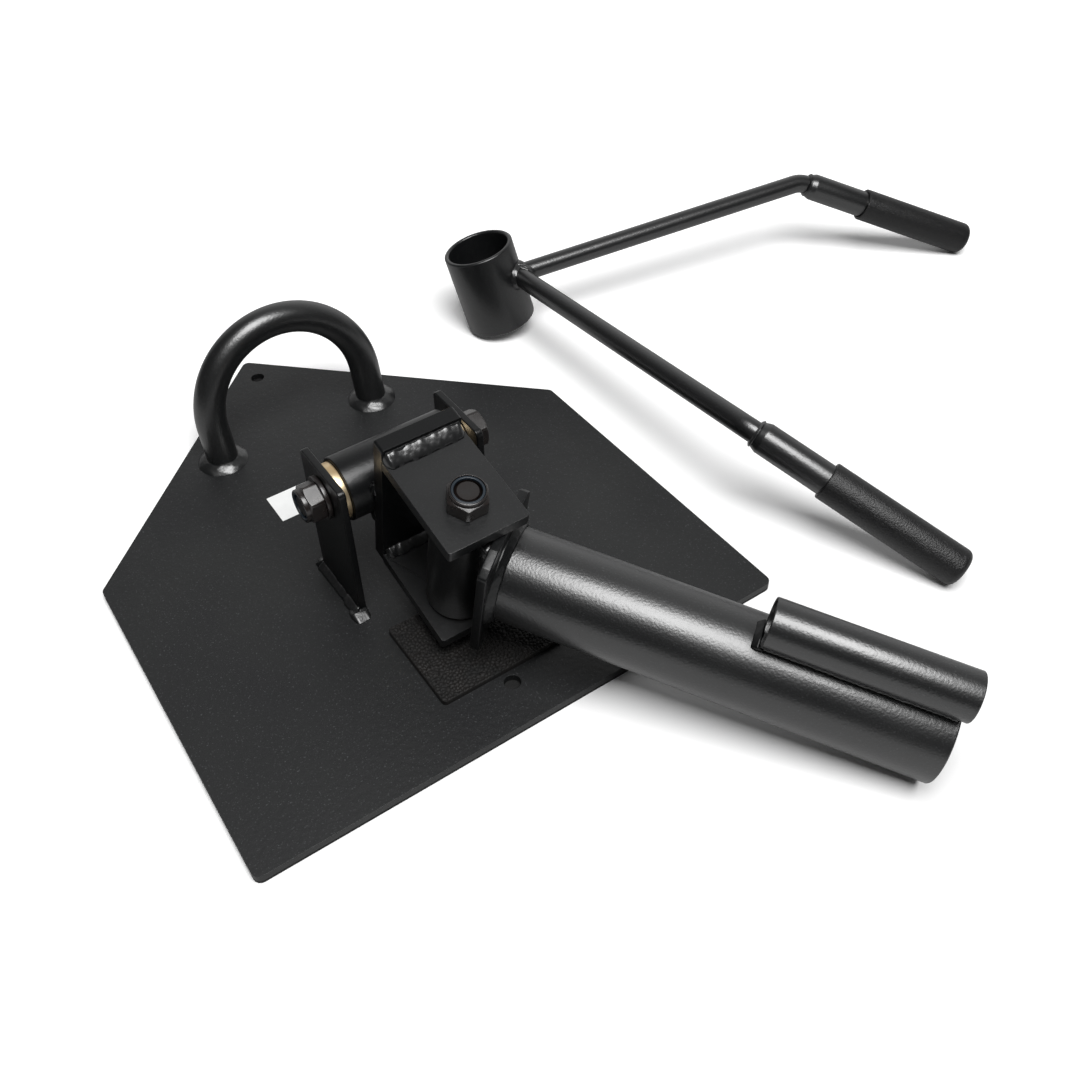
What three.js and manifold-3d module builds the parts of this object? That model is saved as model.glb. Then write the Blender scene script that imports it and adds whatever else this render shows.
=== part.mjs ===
// Barbell pivot attachment for strength training.
//
// A five-sided steel floor plate carries two upright ears. Between them a yoke turns on a
// horizontal bolt, so that the bar can be raised, and in the yoke an open steel sleeve for the
// end of a barbell turns on an upright bolt, so that the bar can swing to both sides. A small
// second sleeve lies on top of the first, a bent bar at the back is for carrying, and a loose
// V handle with a collar that slides over the end of a bar lies on the floor beside the plate.
//
// Millimetres and degrees. +X runs along the pivot bolt, +Y to the back, +Z up.
// The origin is on the floor, straight below the middle of the pivot bolt.

import * as THREE from 'three';
import { ConvexGeometry } from 'three/addons/geometries/ConvexGeometry.js';
import { mergeVertices } from 'three/addons/utils/BufferGeometryUtils.js';
import Module from 'manifold-3d';

const wasm = await Module();
wasm.setup();

// Clearances
const seatGap = 0.3; // between two pieces that seat on each other or run in each other
const overrun = 3; // how far a cutting shape runs past what it cuts
const weldRoot = 1; // how far a weld bead reaches into the piece that it belongs to
const mergeDistance = 0.0001; // corners nearer than this are one corner

// Floor plate and the rubber sheet under it
const plateWidth = 381;
const plateSide = 258; // straight side, from a front corner to a shoulder
const plateApex = 187.4; // from the line of the shoulders back to the apex
const plateThickness = 5;
const plateCorner = 5; // radius of each corner of the outline
const padThickness = 2;
const anchorHole = 11; // diameter of the two bolt-down holes
const anchorFront = 30.6; // front hole, behind the front edge
const anchorBack = 27; // back hole, in front of the apex

// Rubber bumper under the yoke
const bumperWidth = 90;
const bumperDepth = 72;
const bumperThickness = 4;
const bumperFront = 39; // behind the plate's front edge
const bumperCorner = 3;

// Ears and the line of the pivot bolt
const pivotBack = 163.1; // behind the plate's front edge
const pivotHeight = 87.4; // above the plate's top
const earOpening = 94; // between the ears' inner faces
const earThickness = 5;
const earWidth = 55;
const earHeight = 108.8;
const earCorner = 4;
const earWeld = 5;

// Carrying handle
const handleBar = 24;
const handleSpacing = 131.4; // between the middles of the feet
const handleLeg = 28.7; // straight part of a leg
const handleBack = 173.8; // feet behind the pivot bolt
const handleLeanAngle = 10.8;
const handleWeld = 6;

// Bolts with lock nuts, both the same size
const boltSize = 16;
const hexFlats = 24; // across the flats of heads and nuts
const headHeight = 10;
const nutHexHeight = 10;
const nutCollar = 22.6; // round collar that holds the nylon ring
const nutCollarHeight = 3;
const insertOuter = 20;
const insertHeight = 2;
const boltSunk = 1; // the bolt ends this far below the top of its nut
const boltChamfer = 1.5;
const washerOuter = 30;
const washerThickness = 3;
const hexBevelShare = 0.95; // bevel circle of a hexagon, as a share of its flats
const hexBevelAngle = 30;

// Spacer tubes that the bolts clamp, and the flanged bronze bushes that turn on them
const axleOuter = 24;
const bushOuter = 30;
const pivotBushLength = 25;
const pivotFlange = 39;
const pivotFlangeThickness = 5.5;
const swivelBushLength = 20;
const swivelFlange = 36;
const swivelFlangeThickness = 2;

// Yoke
const pivotTube = 44;
const yokeWidth = 55;
const yokeOpening = 90.6; // between its top and bottom plates
const yokeRise = 2.1; // middle of that opening above the pivot bolt
const yokePlateThickness = 8;
const yokeReach = 107.8; // front edges of the plates, in front of the pivot bolt
const yokeCorner = 2;
const webThickness = 10;
const webAbove = 9.1; // the web stands this far above the top plate
const swivelReach = 82.7; // swivel bolt in front of the pivot bolt
const topWeld = 7;
const insideWeld = 5;
const tubeWeld = 4; // bead between a round tube and a flat plate
const weldInset = 2; // a bead stops this far short of the end of its seam

// Sleeves
const barrelOuter = 42.4;
const endPlateWidth = 72;
const endPlateHeight = 87;
const endPlateClip = 5; // cut off each corner, along both edges
const endPlateThickness = 6;
const sleeveOuter = 60;
const sleeveInner = 52; // takes the 50 mm end of a bar
const sleeveReach = 295; // mouth in front of the swivel bolt
const sleeveWeld = 6;
const smallOuter = 30;
const smallInner = 26;
const smallLength = 114;
const smallWeld = 6.5; // half width of the bead between the two sleeves
const swivelRestAngle = 35.5; // the sleeve is turned this far to +X

// Loose V handle
const collarOuter = 60;
const collarInner = 52;
const collarHeight = 72;
const collarBevel = 1.2;
const armBar = 16;
const armMeet = 26.9; // where the arms' lines meet, out from the collar's axis
const armMeetHeight = 41.9; // and up from the collar's lower rim
const armLength = 281; // from there to the elbow
const armSpreadAngle = 39.7; // each arm to its side of the middle line
const armDroopAngle = 8.06; // each arm below square to the collar
const armWeld = 4;
const armWeldLength = 12;
const elbowRadius = 22;
const gripSpreadAngle = 16.5;
const gripDroopAngle = 35.7;
const gripLength = 170; // from the elbow to the end of the grip
const gripTubeOuter = 23;
const gripShoulder = 6; // length of the tube's tapered start
const gripShoulderWall = 1.2; // wall where the taper starts
const gripStandOff = 1; // tube starts this far after the bend
const armStub = 35; // length of bar inside the grip tube
const rubberStart = 63.7; // from the elbow
const rubberOuter = 28;
const rubberEdge = 0.8;
const rubberEndRound = 5;
const rubberEndWall = 4;
const handleX = 214.3; // middle of the collar's lower rim
const handleY = 203.8;
const handleYawAngle = -50.04; // middle line of the V, from +X towards +Y

// Numbers of facets
const largeSides = 48;
const smallSides = 32;
const barSides = 24;
const cornerSteps = 4;
const bendStepAngle = 11.25;
const solveSteps = 50;
const steepestAngle = 60; // no solved tilt or lean is steeper

// Sizes that follow
const rad = Math.PI / 180;
const plateTop = padThickness + plateThickness;
const plateFront = -pivotBack;
const pivotZ = plateTop + pivotHeight;
const boltBore = boltSize + 2 * seatGap;
const bushInner = axleOuter + 2 * seatGap;
const bushSeat = bushOuter + 2 * seatGap; // bore of both tubes that hold bushes
const webBack = -(pivotTube / 2 + seatGap);
const webFront = webBack - webThickness;
const yokeBack = webFront - seatGap; // back edge of the yoke's plates
const yokeTop = yokeOpening / 2 + yokePlateThickness; // from the middle of the opening
const endPlateBack = -(barrelOuter / 2 + seatGap);
const endPlateFront = endPlateBack - endPlateThickness;
const smallAxis = sleeveOuter / 2 + seatGap + smallOuter / 2;
const nutHeight = nutHexHeight + nutCollarHeight;

const xAxis = new THREE.Vector3(1, 0, 0);
const yAxis = new THREE.Vector3(0, 1, 0);
const zAxis = new THREE.Vector3(0, 0, 1);
const alongX = new THREE.Matrix4().makeBasis(yAxis, zAxis, xAxis); // x to y, y to z, z to x

// Solids

// A closed three.js geometry as a solid that can be joined and cut.
function solidOf(geometry) {
  const bare = geometry.clone();
  bare.deleteAttribute('normal');
  bare.deleteAttribute('uv');
  const merged = mergeVertices(bare, mergeDistance);
  const corners = merged.index.array;
  const triangles = [];
  for (let i = 0; i < corners.length; i += 3) {
    const [a, b, c] = corners.slice(i, i + 3);
    if (a !== b && b !== c && c !== a) {
      triangles.push(a, b, c);
    }
  }
  return new wasm.Manifold(new wasm.Mesh({
    numProp: 3,
    vertProperties: new Float32Array(merged.attributes.position.array),
    triVerts: new Uint32Array(triangles),
  }));
}

function geometryOf(solid) {
  const mesh = solid.getMesh();
  const geometry = new THREE.BufferGeometry();
  geometry.setAttribute('position', new THREE.BufferAttribute(mesh.vertProperties, 3));
  geometry.setIndex(new THREE.BufferAttribute(mesh.triVerts, 1));
  geometry.computeVertexNormals();
  return geometry;
}

// A profile of [radius, height] turned about +Z. It runs up on its outer side, and either
// starts and ends on the axis or closes on itself.
function turned(profile, sides) {
  const points = profile.map(([radius, height]) => new THREE.Vector2(radius, height));
  return new THREE.LatheGeometry(points, sides).rotateX(Math.PI / 2);
}

function rod(diameter, from, to, sides) {
  const radius = diameter / 2;
  return turned([[0, from], [radius, from], [radius, to], [0, to]], sides);
}

function ring(inner, outer, from, to, sides) {
  const [r0, r1] = [inner / 2, outer / 2];
  return turned([[r0, from], [r1, from], [r1, to], [r0, to], [r0, from]], sides);
}

// A bush with its flange at the top: the flange's outer face is at height zero.
function flangedBush(length, flange, thickness) {
  const [bore, body, edge] = [bushInner / 2, bushOuter / 2, flange / 2];
  return turned([
    [bore, -thickness - length],
    [body, -thickness - length],
    [body, -thickness],
    [edge, -thickness],
    [edge, 0],
    [bore, 0],
    [bore, -thickness - length],
  ], smallSides);
}

// An outline through corners [x, y, radius], counter-clockwise, each rounded by an arc.
function outline(corners) {
  const points = [];
  corners.forEach(([x, y, radius], i) => {
    const here = new THREE.Vector2(x, y);
    if (radius === 0) {
      points.push(here);
      return;
    }
    const before = new THREE.Vector2(...corners.at(i - 1)).sub(here).normalize();
    const after = new THREE.Vector2(...corners[(i + 1) % corners.length]).sub(here).normalize();
    const half = Math.acos(before.dot(after)) / 2;
    const centre = before.clone().add(after).normalize().multiplyScalar(radius / Math.sin(half)).add(here);
    const start = Math.atan2(before.x, -before.y);
    const sweep = Math.PI - 2 * half;
    for (let k = 0; k <= cornerSteps; k++) {
      const angle = start + sweep * k / cornerSteps;
      points.push(new THREE.Vector2(Math.cos(angle), Math.sin(angle)).multiplyScalar(radius).add(centre));
    }
  });
  return new THREE.Shape(points);
}

function rectangle(x0, x1, y0, y1, lower, upper) {
  return outline([[x0, y0, lower], [x1, y0, lower], [x1, y1, upper], [x0, y1, upper]]);
}

function roundHole(shape, diameter, x, y) {
  shape.holes.push(new THREE.Path().absarc(x, y, diameter / 2, 0, 2 * Math.PI, true));
  return shape;
}

function extruded(shape, depth) {
  return new THREE.ExtrudeGeometry(shape, { depth, bevelEnabled: false, curveSegments: smallSides / 2 });
}

function box(x0, x1, y0, y1, z0, z1) {
  const geometry = new THREE.BoxGeometry(x1 - x0, y1 - y0, z1 - z0);
  return geometry.translate((x0 + x1) / 2, (y0 + y1) / 2, (z0 + z1) / 2);
}

// A straight bead with the section [y, z] given, along X between both ends.
function beadAlongX(points, halfLength) {
  const section = new THREE.Shape(points.map(([y, z]) => new THREE.Vector2(y, z)));
  return solidOf(extruded(section, 2 * halfLength).translate(0, 0, -halfLength).applyMatrix4(alongX));
}

// Section of the two beads that fill the corners between a round tube and the flat face that
// it lies against. x runs along the face and y from the face to the tube's axis. A fillet
// circle of the bead's radius touches the face and the tube, and the bead ends where it does.
function tubeBeads(tubeRadius, side) {
  const along = 2 * Math.sqrt(tubeRadius * tubeWeld);
  const share = tubeRadius / (tubeRadius + tubeWeld);
  const height = tubeRadius + seatGap - (tubeRadius - tubeWeld) * share;
  const start = along * tubeWeld / tubeRadius * 2;
  return new THREE.Shape([
    new THREE.Vector2(side * start, -weldRoot),
    new THREE.Vector2(side * along, -weldRoot),
    new THREE.Vector2(side * along, 0),
    new THREE.Vector2(side * along * share, height),
    new THREE.Vector2(side * start, height),
  ]);
}

// A line through corners, each rounded to one radius. It has a station at both ends of every
// straight run and every few degrees round a bend, and is stepped from station to station.
class RoundedLine extends THREE.Curve {
  constructor(corners, radius) {
    super();
    this.stations = [];
    let heading = corners[1].clone().sub(corners[0]).normalize();
    this.addStation(corners[0], heading);
    for (let i = 1; i < corners.length - 1; i++) {
      const next = corners[i + 1].clone().sub(corners[i]).normalize();
      const turn = heading.angleTo(next);
      const axis = heading.clone().cross(next).normalize();
      const start = corners[i].clone().addScaledVector(heading, -radius * Math.tan(turn / 2));
      const centre = start.clone().addScaledVector(axis.clone().cross(heading), radius);
      const steps = Math.ceil(turn / (bendStepAngle * rad) - mergeDistance);
      for (let k = 0; k <= steps; k++) {
        const angle = turn * k / steps;
        const point = start.clone().sub(centre).applyAxisAngle(axis, angle).add(centre);
        this.addStation(point, heading.clone().applyAxisAngle(axis, angle));
      }
      heading = next;
    }
    this.addStation(corners.at(-1), heading);
  }

  addStation(point, tangent) {
    const last = this.stations.at(-1);
    if (!last || last.point.distanceTo(point) > mergeDistance) {
      this.stations.push({ point, tangent });
    }
  }

  get steps() {
    return this.stations.length - 1;
  }

  getPointAt(u) {
    return this.stations[Math.round(u * this.steps)].point.clone();
  }

  getTangentAt(u) {
    return this.stations[Math.round(u * this.steps)].tangent.clone();
  }
}

function bentBar(diameter, line) {
  const section = new THREE.Shape().absarc(0, 0, diameter / 2, 0, 2 * Math.PI, false);
  return solidOf(new THREE.ExtrudeGeometry(section, {
    steps: line.steps,
    curveSegments: barSides / 2,
    extrudePath: line,
  }));
}

// A geometry that stands on +Z, moved so that it stands on a point and runs along a direction.
function aimed(geometry, direction, point) {
  const turn = new THREE.Quaternion().setFromUnitVectors(zAxis, direction);
  return geometry.applyQuaternion(turn).translate(point.x, point.y, point.z);
}

// The value between two limits at which a rising function is zero.
function rootOf(rising, low, high) {
  for (let i = 0; i < solveSteps; i++) {
    const middle = (low + high) / 2;
    if (rising(middle) < 0) {
      low = middle;
    } else {
      high = middle;
    }
  }
  return (low + high) / 2;
}

// Fasteners, standing on +Z

// A hexagon whose outer end, at the height given, has the usual bevel.
function hexagon(height) {
  const corner = hexFlats / 2 / Math.cos(Math.PI / 6);
  const bevelRadius = hexFlats / 2 * hexBevelShare;
  const bevelHeight = (corner - bevelRadius) * Math.tan(hexBevelAngle * rad);
  const points = [];
  for (let i = 0; i < 6; i++) {
    points.push(new THREE.Vector2(Math.cos(i * Math.PI / 3), Math.sin(i * Math.PI / 3)).multiplyScalar(corner));
  }
  const bevel = turned([
    [0, -overrun],
    [corner, -overrun],
    [corner, height - bevelHeight],
    [bevelRadius, height],
    [0, height],
  ], barSides);
  return solidOf(extruded(new THREE.Shape(points), height)).intersect(solidOf(bevel));
}

// Head below, bevelled shank above: the shank leaves the head at height zero.
function hexBolt(shankLength) {
  const radius = boltSize / 2;
  const shank = turned([
    [0, -headHeight / 2],
    [radius, -headHeight / 2],
    [radius, shankLength - boltChamfer],
    [radius - boltChamfer, shankLength],
    [0, shankLength],
  ], barSides);
  const head = hexagon(headHeight).rotate([180, 0, 0]);
  return head.add(solidOf(shank));
}

// A hexagon with a round collar on top, open for the bolt and for the nylon ring.
function lockNut() {
  const collar = solidOf(rod(nutCollar, nutHexHeight / 2, nutHeight, smallSides));
  const bore = solidOf(rod(boltBore, -overrun, nutHeight + overrun, barSides));
  const seatFloor = nutHeight - insertHeight - seatGap;
  const seat = solidOf(rod(insertOuter + 2 * seatGap, seatFloor, nutHeight + overrun, smallSides));
  return hexagon(nutHexHeight).add(collar).subtract(bore).subtract(seat);
}

function nylonRing() {
  return ring(boltBore, insertOuter, nutHeight - insertHeight, nutHeight, barSides);
}

// Looks

const finishes = {
  coat: { color: 0x1c1d1f, roughness: 0.5, metalness: 0.25 },
  tubeCoat: { color: 0x161718, roughness: 0.36, metalness: 0.3 },
  rubber: { color: 0x121212, roughness: 0.95, metalness: 0 },
  grip: { color: 0x0e0e0f, roughness: 0.8, metalness: 0 },
  bronze: { color: 0xcfa968, roughness: 0.35, metalness: 0.9 },
  blackZinc: { color: 0x2a2523, roughness: 0.3, metalness: 0.8 },
  plainSteel: { color: 0x8f9092, roughness: 0.4, metalness: 0.9 },
  nylon: { color: 0x24303c, roughness: 0.5, metalness: 0 },
};

function addPart(parent, name, shape, finish) {
  const geometry = shape.isBufferGeometry ? geometryOf(solidOf(shape)) : geometryOf(shape);
  const material = new THREE.MeshStandardMaterial({ ...finishes[finish], flatShading: true });
  const mesh = new THREE.Mesh(geometry, material);
  mesh.name = name;
  parent.add(mesh);
  return mesh;
}

const attachment = new THREE.Group();

// Floor plate with its rubber sheet

const halfWidth = plateWidth / 2;
const shoulderY = plateFront + plateSide;
const apexY = shoulderY + plateApex;

function plateOutline() {
  const shape = outline([
    [-halfWidth, plateFront, plateCorner],
    [halfWidth, plateFront, plateCorner],
    [halfWidth, shoulderY, plateCorner],
    [0, apexY, plateCorner],
    [-halfWidth, shoulderY, plateCorner],
  ]);
  roundHole(shape, anchorHole, 0, plateFront + anchorFront);
  return roundHole(shape, anchorHole, 0, apexY - anchorBack);
}

addPart(attachment, 'floor_pad', extruded(plateOutline(), padThickness), 'rubber');
const basePlate = addPart(attachment, 'base_plate', extruded(plateOutline(), plateThickness), 'coat');
basePlate.position.z = padThickness;

const bumperY = plateFront + bumperFront;
const bumperShape = rectangle(
  -bumperWidth / 2, bumperWidth / 2, bumperY, bumperY + bumperDepth, bumperCorner, bumperCorner,
);
const bumper = addPart(attachment, 'bumper_pad', extruded(bumperShape, bumperThickness), 'rubber');
bumper.position.z = plateTop;

// Ears, each with its foot weld on the outer side and round both edges

const earInnerX = earOpening / 2;
const earOuterX = earInnerX + earThickness;

function ear() {
  const half = earWidth / 2;
  const plate = roundHole(rectangle(-half, half, 0, earHeight, 0, earCorner), boltBore, 0, pivotHeight);
  const upright = extruded(plate, earThickness).applyMatrix4(alongX).translate(earInnerX, 0, 0);
  const skirt = [];
  for (const [grow, height] of [[earWeld, 0], [0, earWeld]]) {
    for (const y of [-half - grow, half + grow]) {
      skirt.push(new THREE.Vector3(earInnerX, y, height));
      skirt.push(new THREE.Vector3(earOuterX + grow, y, height));
    }
  }
  return solidOf(upright).add(solidOf(new ConvexGeometry(skirt)));
}

const earRight = addPart(attachment, 'ear_right', ear(), 'coat');
earRight.position.z = plateTop;
const earLeft = addPart(attachment, 'ear_left', ear(), 'coat');
earLeft.position.z = plateTop;
earLeft.rotation.z = Math.PI;

// Carrying handle: one bent bar with a weld ring round each foot, leaning back

function carryHandle() {
  const half = handleSpacing / 2;
  const top = handleLeg + half;
  const line = new RoundedLine([
    new THREE.Vector3(-half, 0, -handleBar),
    new THREE.Vector3(-half, 0, top),
    new THREE.Vector3(half, 0, top),
    new THREE.Vector3(half, 0, -handleBar),
  ], half);
  let handle = bentBar(handleBar, line);
  const barRadius = handleBar / 2;
  for (const x of [-half, half]) {
    const foot = turned([
      [0, -handleBar],
      [barRadius + handleWeld, -handleBar],
      [barRadius + handleWeld, 0],
      [barRadius, handleWeld],
      [0, handleWeld],
    ], barSides);
    handle = handle.add(solidOf(foot.translate(x, 0, 0)));
  }
  const leaning = handle.rotate([-handleLeanAngle, 0, 0]);
  const below = box(-handleSpacing, handleSpacing, -handleSpacing, handleSpacing, -2 * handleBar, 0);
  return leaning.subtract(solidOf(below));
}

const handle = addPart(attachment, 'carry_handle', carryHandle(), 'tubeCoat');
handle.position.set(0, handleBack, plateTop);

// Pivot bolt through the ears, with washers, lock nut and the clamped spacer tube

const pivotWasherX = earOuterX + seatGap;
const pivotClampX = pivotWasherX + washerThickness + seatGap;
const pivotShank = 2 * pivotClampX + nutHeight - boltSunk;

const pivotBolt = addPart(attachment, 'pivot_bolt', hexBolt(pivotShank), 'blackZinc');
pivotBolt.position.set(pivotClampX, 0, pivotZ);
pivotBolt.rotation.y = -Math.PI / 2;

const pivotNut = addPart(attachment, 'pivot_nut', lockNut(), 'blackZinc');
pivotNut.position.set(-pivotClampX, 0, pivotZ);
pivotNut.rotation.y = -Math.PI / 2;

const pivotInsert = addPart(attachment, 'pivot_nut_insert', nylonRing(), 'nylon');
pivotInsert.position.set(-pivotClampX, 0, pivotZ);
pivotInsert.rotation.y = -Math.PI / 2;

for (const [name, side] of [['pivot_washer_right', 1], ['pivot_washer_left', -1]]) {
  const washer = ring(boltBore, washerOuter, 0, washerThickness, smallSides);
  const mesh = addPart(attachment, name, washer, 'blackZinc');
  mesh.position.set(side * pivotWasherX, 0, pivotZ);
  mesh.rotation.y = side * Math.PI / 2;
}

const pivotAxleHalf = earInnerX - seatGap;
const pivotAxle = ring(boltBore, axleOuter, -pivotAxleHalf, pivotAxleHalf, smallSides);
const pivotAxleSleeve = addPart(attachment, 'pivot_axle_sleeve', pivotAxle, 'plainSteel');
pivotAxleSleeve.position.z = pivotZ;
pivotAxleSleeve.rotation.y = Math.PI / 2;

// Yoke, modelled level with its front towards -Y. At rest it tips forward until the lowest
// point of the sleeve's mouth is on the floor.

function mouthBelowFloor(tilt) {
  const [sin, cos] = [Math.sin(tilt * rad), Math.cos(tilt * rad)];
  const forward = swivelReach + sleeveReach * Math.cos(swivelRestAngle * rad);
  const centre = pivotZ - forward * sin + yokeRise * cos;
  const slope = Math.cos(swivelRestAngle * rad) * sin;
  return sleeveOuter / 2 * Math.sqrt(1 - slope * slope) - centre;
}

const yokeTilt = rootOf(mouthBelowFloor, 0, steepestAngle);

const yoke = new THREE.Group();
yoke.position.z = pivotZ;
yoke.rotation.x = yokeTilt * rad;
attachment.add(yoke);

const pivotFlangeX = pivotAxleHalf - pivotFlangeThickness;
const pivotTubeHalf = pivotFlangeX - seatGap;
const pivotTubeShape = ring(bushSeat, pivotTube, -pivotTubeHalf, pivotTubeHalf, largeSides);
addPart(yoke, 'pivot_tube', pivotTubeShape, 'tubeCoat').rotation.y = Math.PI / 2;

for (const [name, side] of [['pivot_bush_right', 1], ['pivot_bush_left', -1]]) {
  const bush = flangedBush(pivotBushLength, pivotFlange, pivotFlangeThickness);
  const mesh = addPart(yoke, name, bush, 'bronze');
  mesh.position.x = side * pivotAxleHalf;
  mesh.rotation.y = side * Math.PI / 2;
}

// The web stands between the pivot tube and the two plates, with a bead above and below the tube.

function yokeWeb() {
  const half = yokeWidth / 2;
  const shape = rectangle(-half, half, yokeRise - yokeTop, yokeRise + yokeTop + webAbove, yokeCorner, yokeCorner);
  let web = solidOf(extruded(shape, webThickness).rotateX(Math.PI / 2).translate(0, webBack, 0));
  const beadHalf = half - weldInset;
  for (const side of [1, -1]) {
    const bead = extruded(tubeBeads(pivotTube / 2, side), 2 * beadHalf).translate(0, webBack, -beadHalf);
    web = web.add(solidOf(bead.rotateY(-Math.PI / 2)));
  }
  const clear = rod(pivotTube + 2 * seatGap, -half, half, largeSides).applyMatrix4(alongX);
  return web.subtract(solidOf(clear));
}

addPart(yoke, 'yoke_web', yokeWeb(), 'coat');

function yokePlate(z) {
  const half = yokeWidth / 2;
  const shape = outline([
    [-half, -yokeReach, yokeCorner],
    [half, -yokeReach, yokeCorner],
    [half, yokeBack, 0],
    [-half, yokeBack, 0],
  ]);
  roundHole(shape, boltBore, 0, -swivelReach);
  return solidOf(extruded(shape, yokePlateThickness).translate(0, 0, z));
}

// A three-cornered bead on one face of a yoke plate, along its back edge.
function edgeBead(face, up, leg) {
  return beadAlongX([
    [yokeBack, face - up * weldRoot],
    [yokeBack, face + up * leg],
    [yokeBack - leg, face],
    [yokeBack - leg, face - up * weldRoot],
  ], yokeWidth / 2 - weldInset);
}

const openingTop = yokeRise + yokeOpening / 2;
const openingBottom = yokeRise - yokeOpening / 2;
const plateTopFace = openingTop + yokePlateThickness;
const plateBottomFace = openingBottom - yokePlateThickness;
const yokeTopPlate = yokePlate(openingTop)
  .add(edgeBead(plateTopFace, 1, topWeld))
  .add(edgeBead(openingTop, -1, insideWeld));
const yokeBottomPlate = yokePlate(plateBottomFace).add(edgeBead(openingBottom, 1, insideWeld));
addPart(yoke, 'yoke_top_plate', yokeTopPlate, 'coat');
addPart(yoke, 'yoke_bottom_plate', yokeBottomPlate, 'coat');

// Swivel bolt, its head below and its lock nut on top

const swivelHeadZ = plateBottomFace - seatGap;
const swivelNutZ = plateTopFace + seatGap;
const swivelShank = swivelNutZ - swivelHeadZ + nutHeight - boltSunk;
const swivelAxleHalf = yokeOpening / 2 - seatGap;
const swivelAxle = ring(boltBore, axleOuter, -swivelAxleHalf, swivelAxleHalf, smallSides);
for (const [name, shape, finish, z] of [
  ['swivel_bolt', hexBolt(swivelShank), 'blackZinc', swivelHeadZ],
  ['swivel_nut', lockNut(), 'blackZinc', swivelNutZ],
  ['swivel_nut_insert', nylonRing(), 'nylon', swivelNutZ],
  ['swivel_axle_sleeve', swivelAxle, 'plainSteel', yokeRise],
]) {
  addPart(yoke, name, shape, finish).position.set(0, -swivelReach, z);
}

// Sleeve assembly: it turns about the swivel bolt, and its tube runs along -Y before the turn.

const sleeve = new THREE.Group();
sleeve.position.set(0, -swivelReach, yokeRise);
sleeve.rotation.z = swivelRestAngle * rad;
yoke.add(sleeve);

const barrelHalf = swivelAxleHalf - swivelFlangeThickness - seatGap;
addPart(sleeve, 'swivel_barrel', ring(bushSeat, barrelOuter, -barrelHalf, barrelHalf, largeSides), 'tubeCoat');

for (const [name, side] of [['swivel_bush_top', 1], ['swivel_bush_bottom', -1]]) {
  const bush = flangedBush(swivelBushLength, swivelFlange, swivelFlangeThickness);
  const mesh = addPart(sleeve, name, bush, 'bronze');
  mesh.position.z = side * swivelAxleHalf;
  mesh.rotation.x = side > 0 ? 0 : Math.PI;
}

// The end plate has clipped corners and is welded to the barrel's side.

function endPlate() {
  const [x, z] = [endPlateWidth / 2, endPlateHeight / 2];
  const shape = new THREE.Shape([
    new THREE.Vector2(-x + endPlateClip, -z),
    new THREE.Vector2(x - endPlateClip, -z),
    new THREE.Vector2(x, -z + endPlateClip),
    new THREE.Vector2(x, z - endPlateClip),
    new THREE.Vector2(x - endPlateClip, z),
    new THREE.Vector2(-x + endPlateClip, z),
    new THREE.Vector2(-x, z - endPlateClip),
    new THREE.Vector2(-x, -z + endPlateClip),
  ]);
  let plate = solidOf(extruded(shape, endPlateThickness).rotateX(Math.PI / 2).translate(0, endPlateBack, 0));
  const beadHalf = Math.min(barrelHalf, z) - weldInset;
  for (const side of [1, -1]) {
    const bead = extruded(tubeBeads(barrelOuter / 2, side), 2 * beadHalf).translate(0, endPlateBack, -beadHalf);
    plate = plate.add(solidOf(bead));
  }
  return plate.subtract(solidOf(rod(barrelOuter + 2 * seatGap, -barrelHalf, barrelHalf, largeSides)));
}

addPart(sleeve, 'sleeve_end_plate', endPlate(), 'coat');

// The bar sleeve is an open tube with a weld round its foot.

const sleeveFoot = seatGap - endPlateFront;
const barSleeveShape = turned([
  [sleeveInner / 2, sleeveFoot],
  [sleeveOuter / 2 + sleeveWeld, sleeveFoot],
  [sleeveOuter / 2, sleeveFoot + sleeveWeld],
  [sleeveOuter / 2, sleeveReach],
  [sleeveInner / 2, sleeveReach],
  [sleeveInner / 2, sleeveFoot],
], largeSides);
addPart(sleeve, 'bar_sleeve', barSleeveShape, 'tubeCoat').rotation.x = Math.PI / 2;

// The small sleeve lies along the top of it, with a bead in the groove on both sides.

function smallSleeve() {
  const from = sleeveReach - smallLength;
  const tube = solidOf(rod(smallOuter, from, sleeveReach, barSides));
  const beadFrom = from + weldInset;
  const beadTo = sleeveReach - weldInset;
  const bead = solidOf(box(-smallWeld, smallWeld, -smallOuter / 2 - weldRoot, -smallOuter / 4, beadFrom, beadTo));
  const bore = solidOf(rod(smallInner, from - overrun, sleeveReach + overrun, barSides));
  const below = rod(sleeveOuter + 2 * seatGap, from - overrun, sleeveReach + overrun, largeSides);
  return tube.add(bead).subtract(bore).subtract(solidOf(below.translate(0, -smallAxis, 0)));
}

const smallTube = addPart(sleeve, 'small_sleeve', smallSleeve(), 'tubeCoat');
smallTube.position.z = smallAxis;
smallTube.rotation.x = Math.PI / 2;

// V handle. In its own frame the collar stands on +Z and the middle line of the V runs along
// +X, with the left arm towards +Y. Each arm is a bar that is coped to the collar, mitred
// against the other, bent at the elbow and pushed into its grip tube.

function heading(spread, droop) {
  const [across, down] = [spread * rad, droop * rad];
  return new THREE.Vector3(
    Math.cos(down) * Math.cos(across), Math.cos(down) * Math.sin(across), -Math.sin(down),
  );
}

const meetPoint = new THREE.Vector3(armMeet, 0, armMeetHeight);

function armFrame(side) {
  const arm = heading(side * armSpreadAngle, armDroopAngle);
  const grip = heading(side * gripSpreadAngle, gripDroopAngle);
  const elbow = meetPoint.clone().addScaledVector(arm, armLength);
  const bendReach = elbowRadius * Math.tan(arm.angleTo(grip) / 2);
  return { arm, grip, elbow, tubeStart: bendReach + gripStandOff };
}

// The handle leans on the back of its collar's lower rim and on the ends of both grips.

const rimRadius = collarOuter / 2 - collarBevel;

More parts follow.
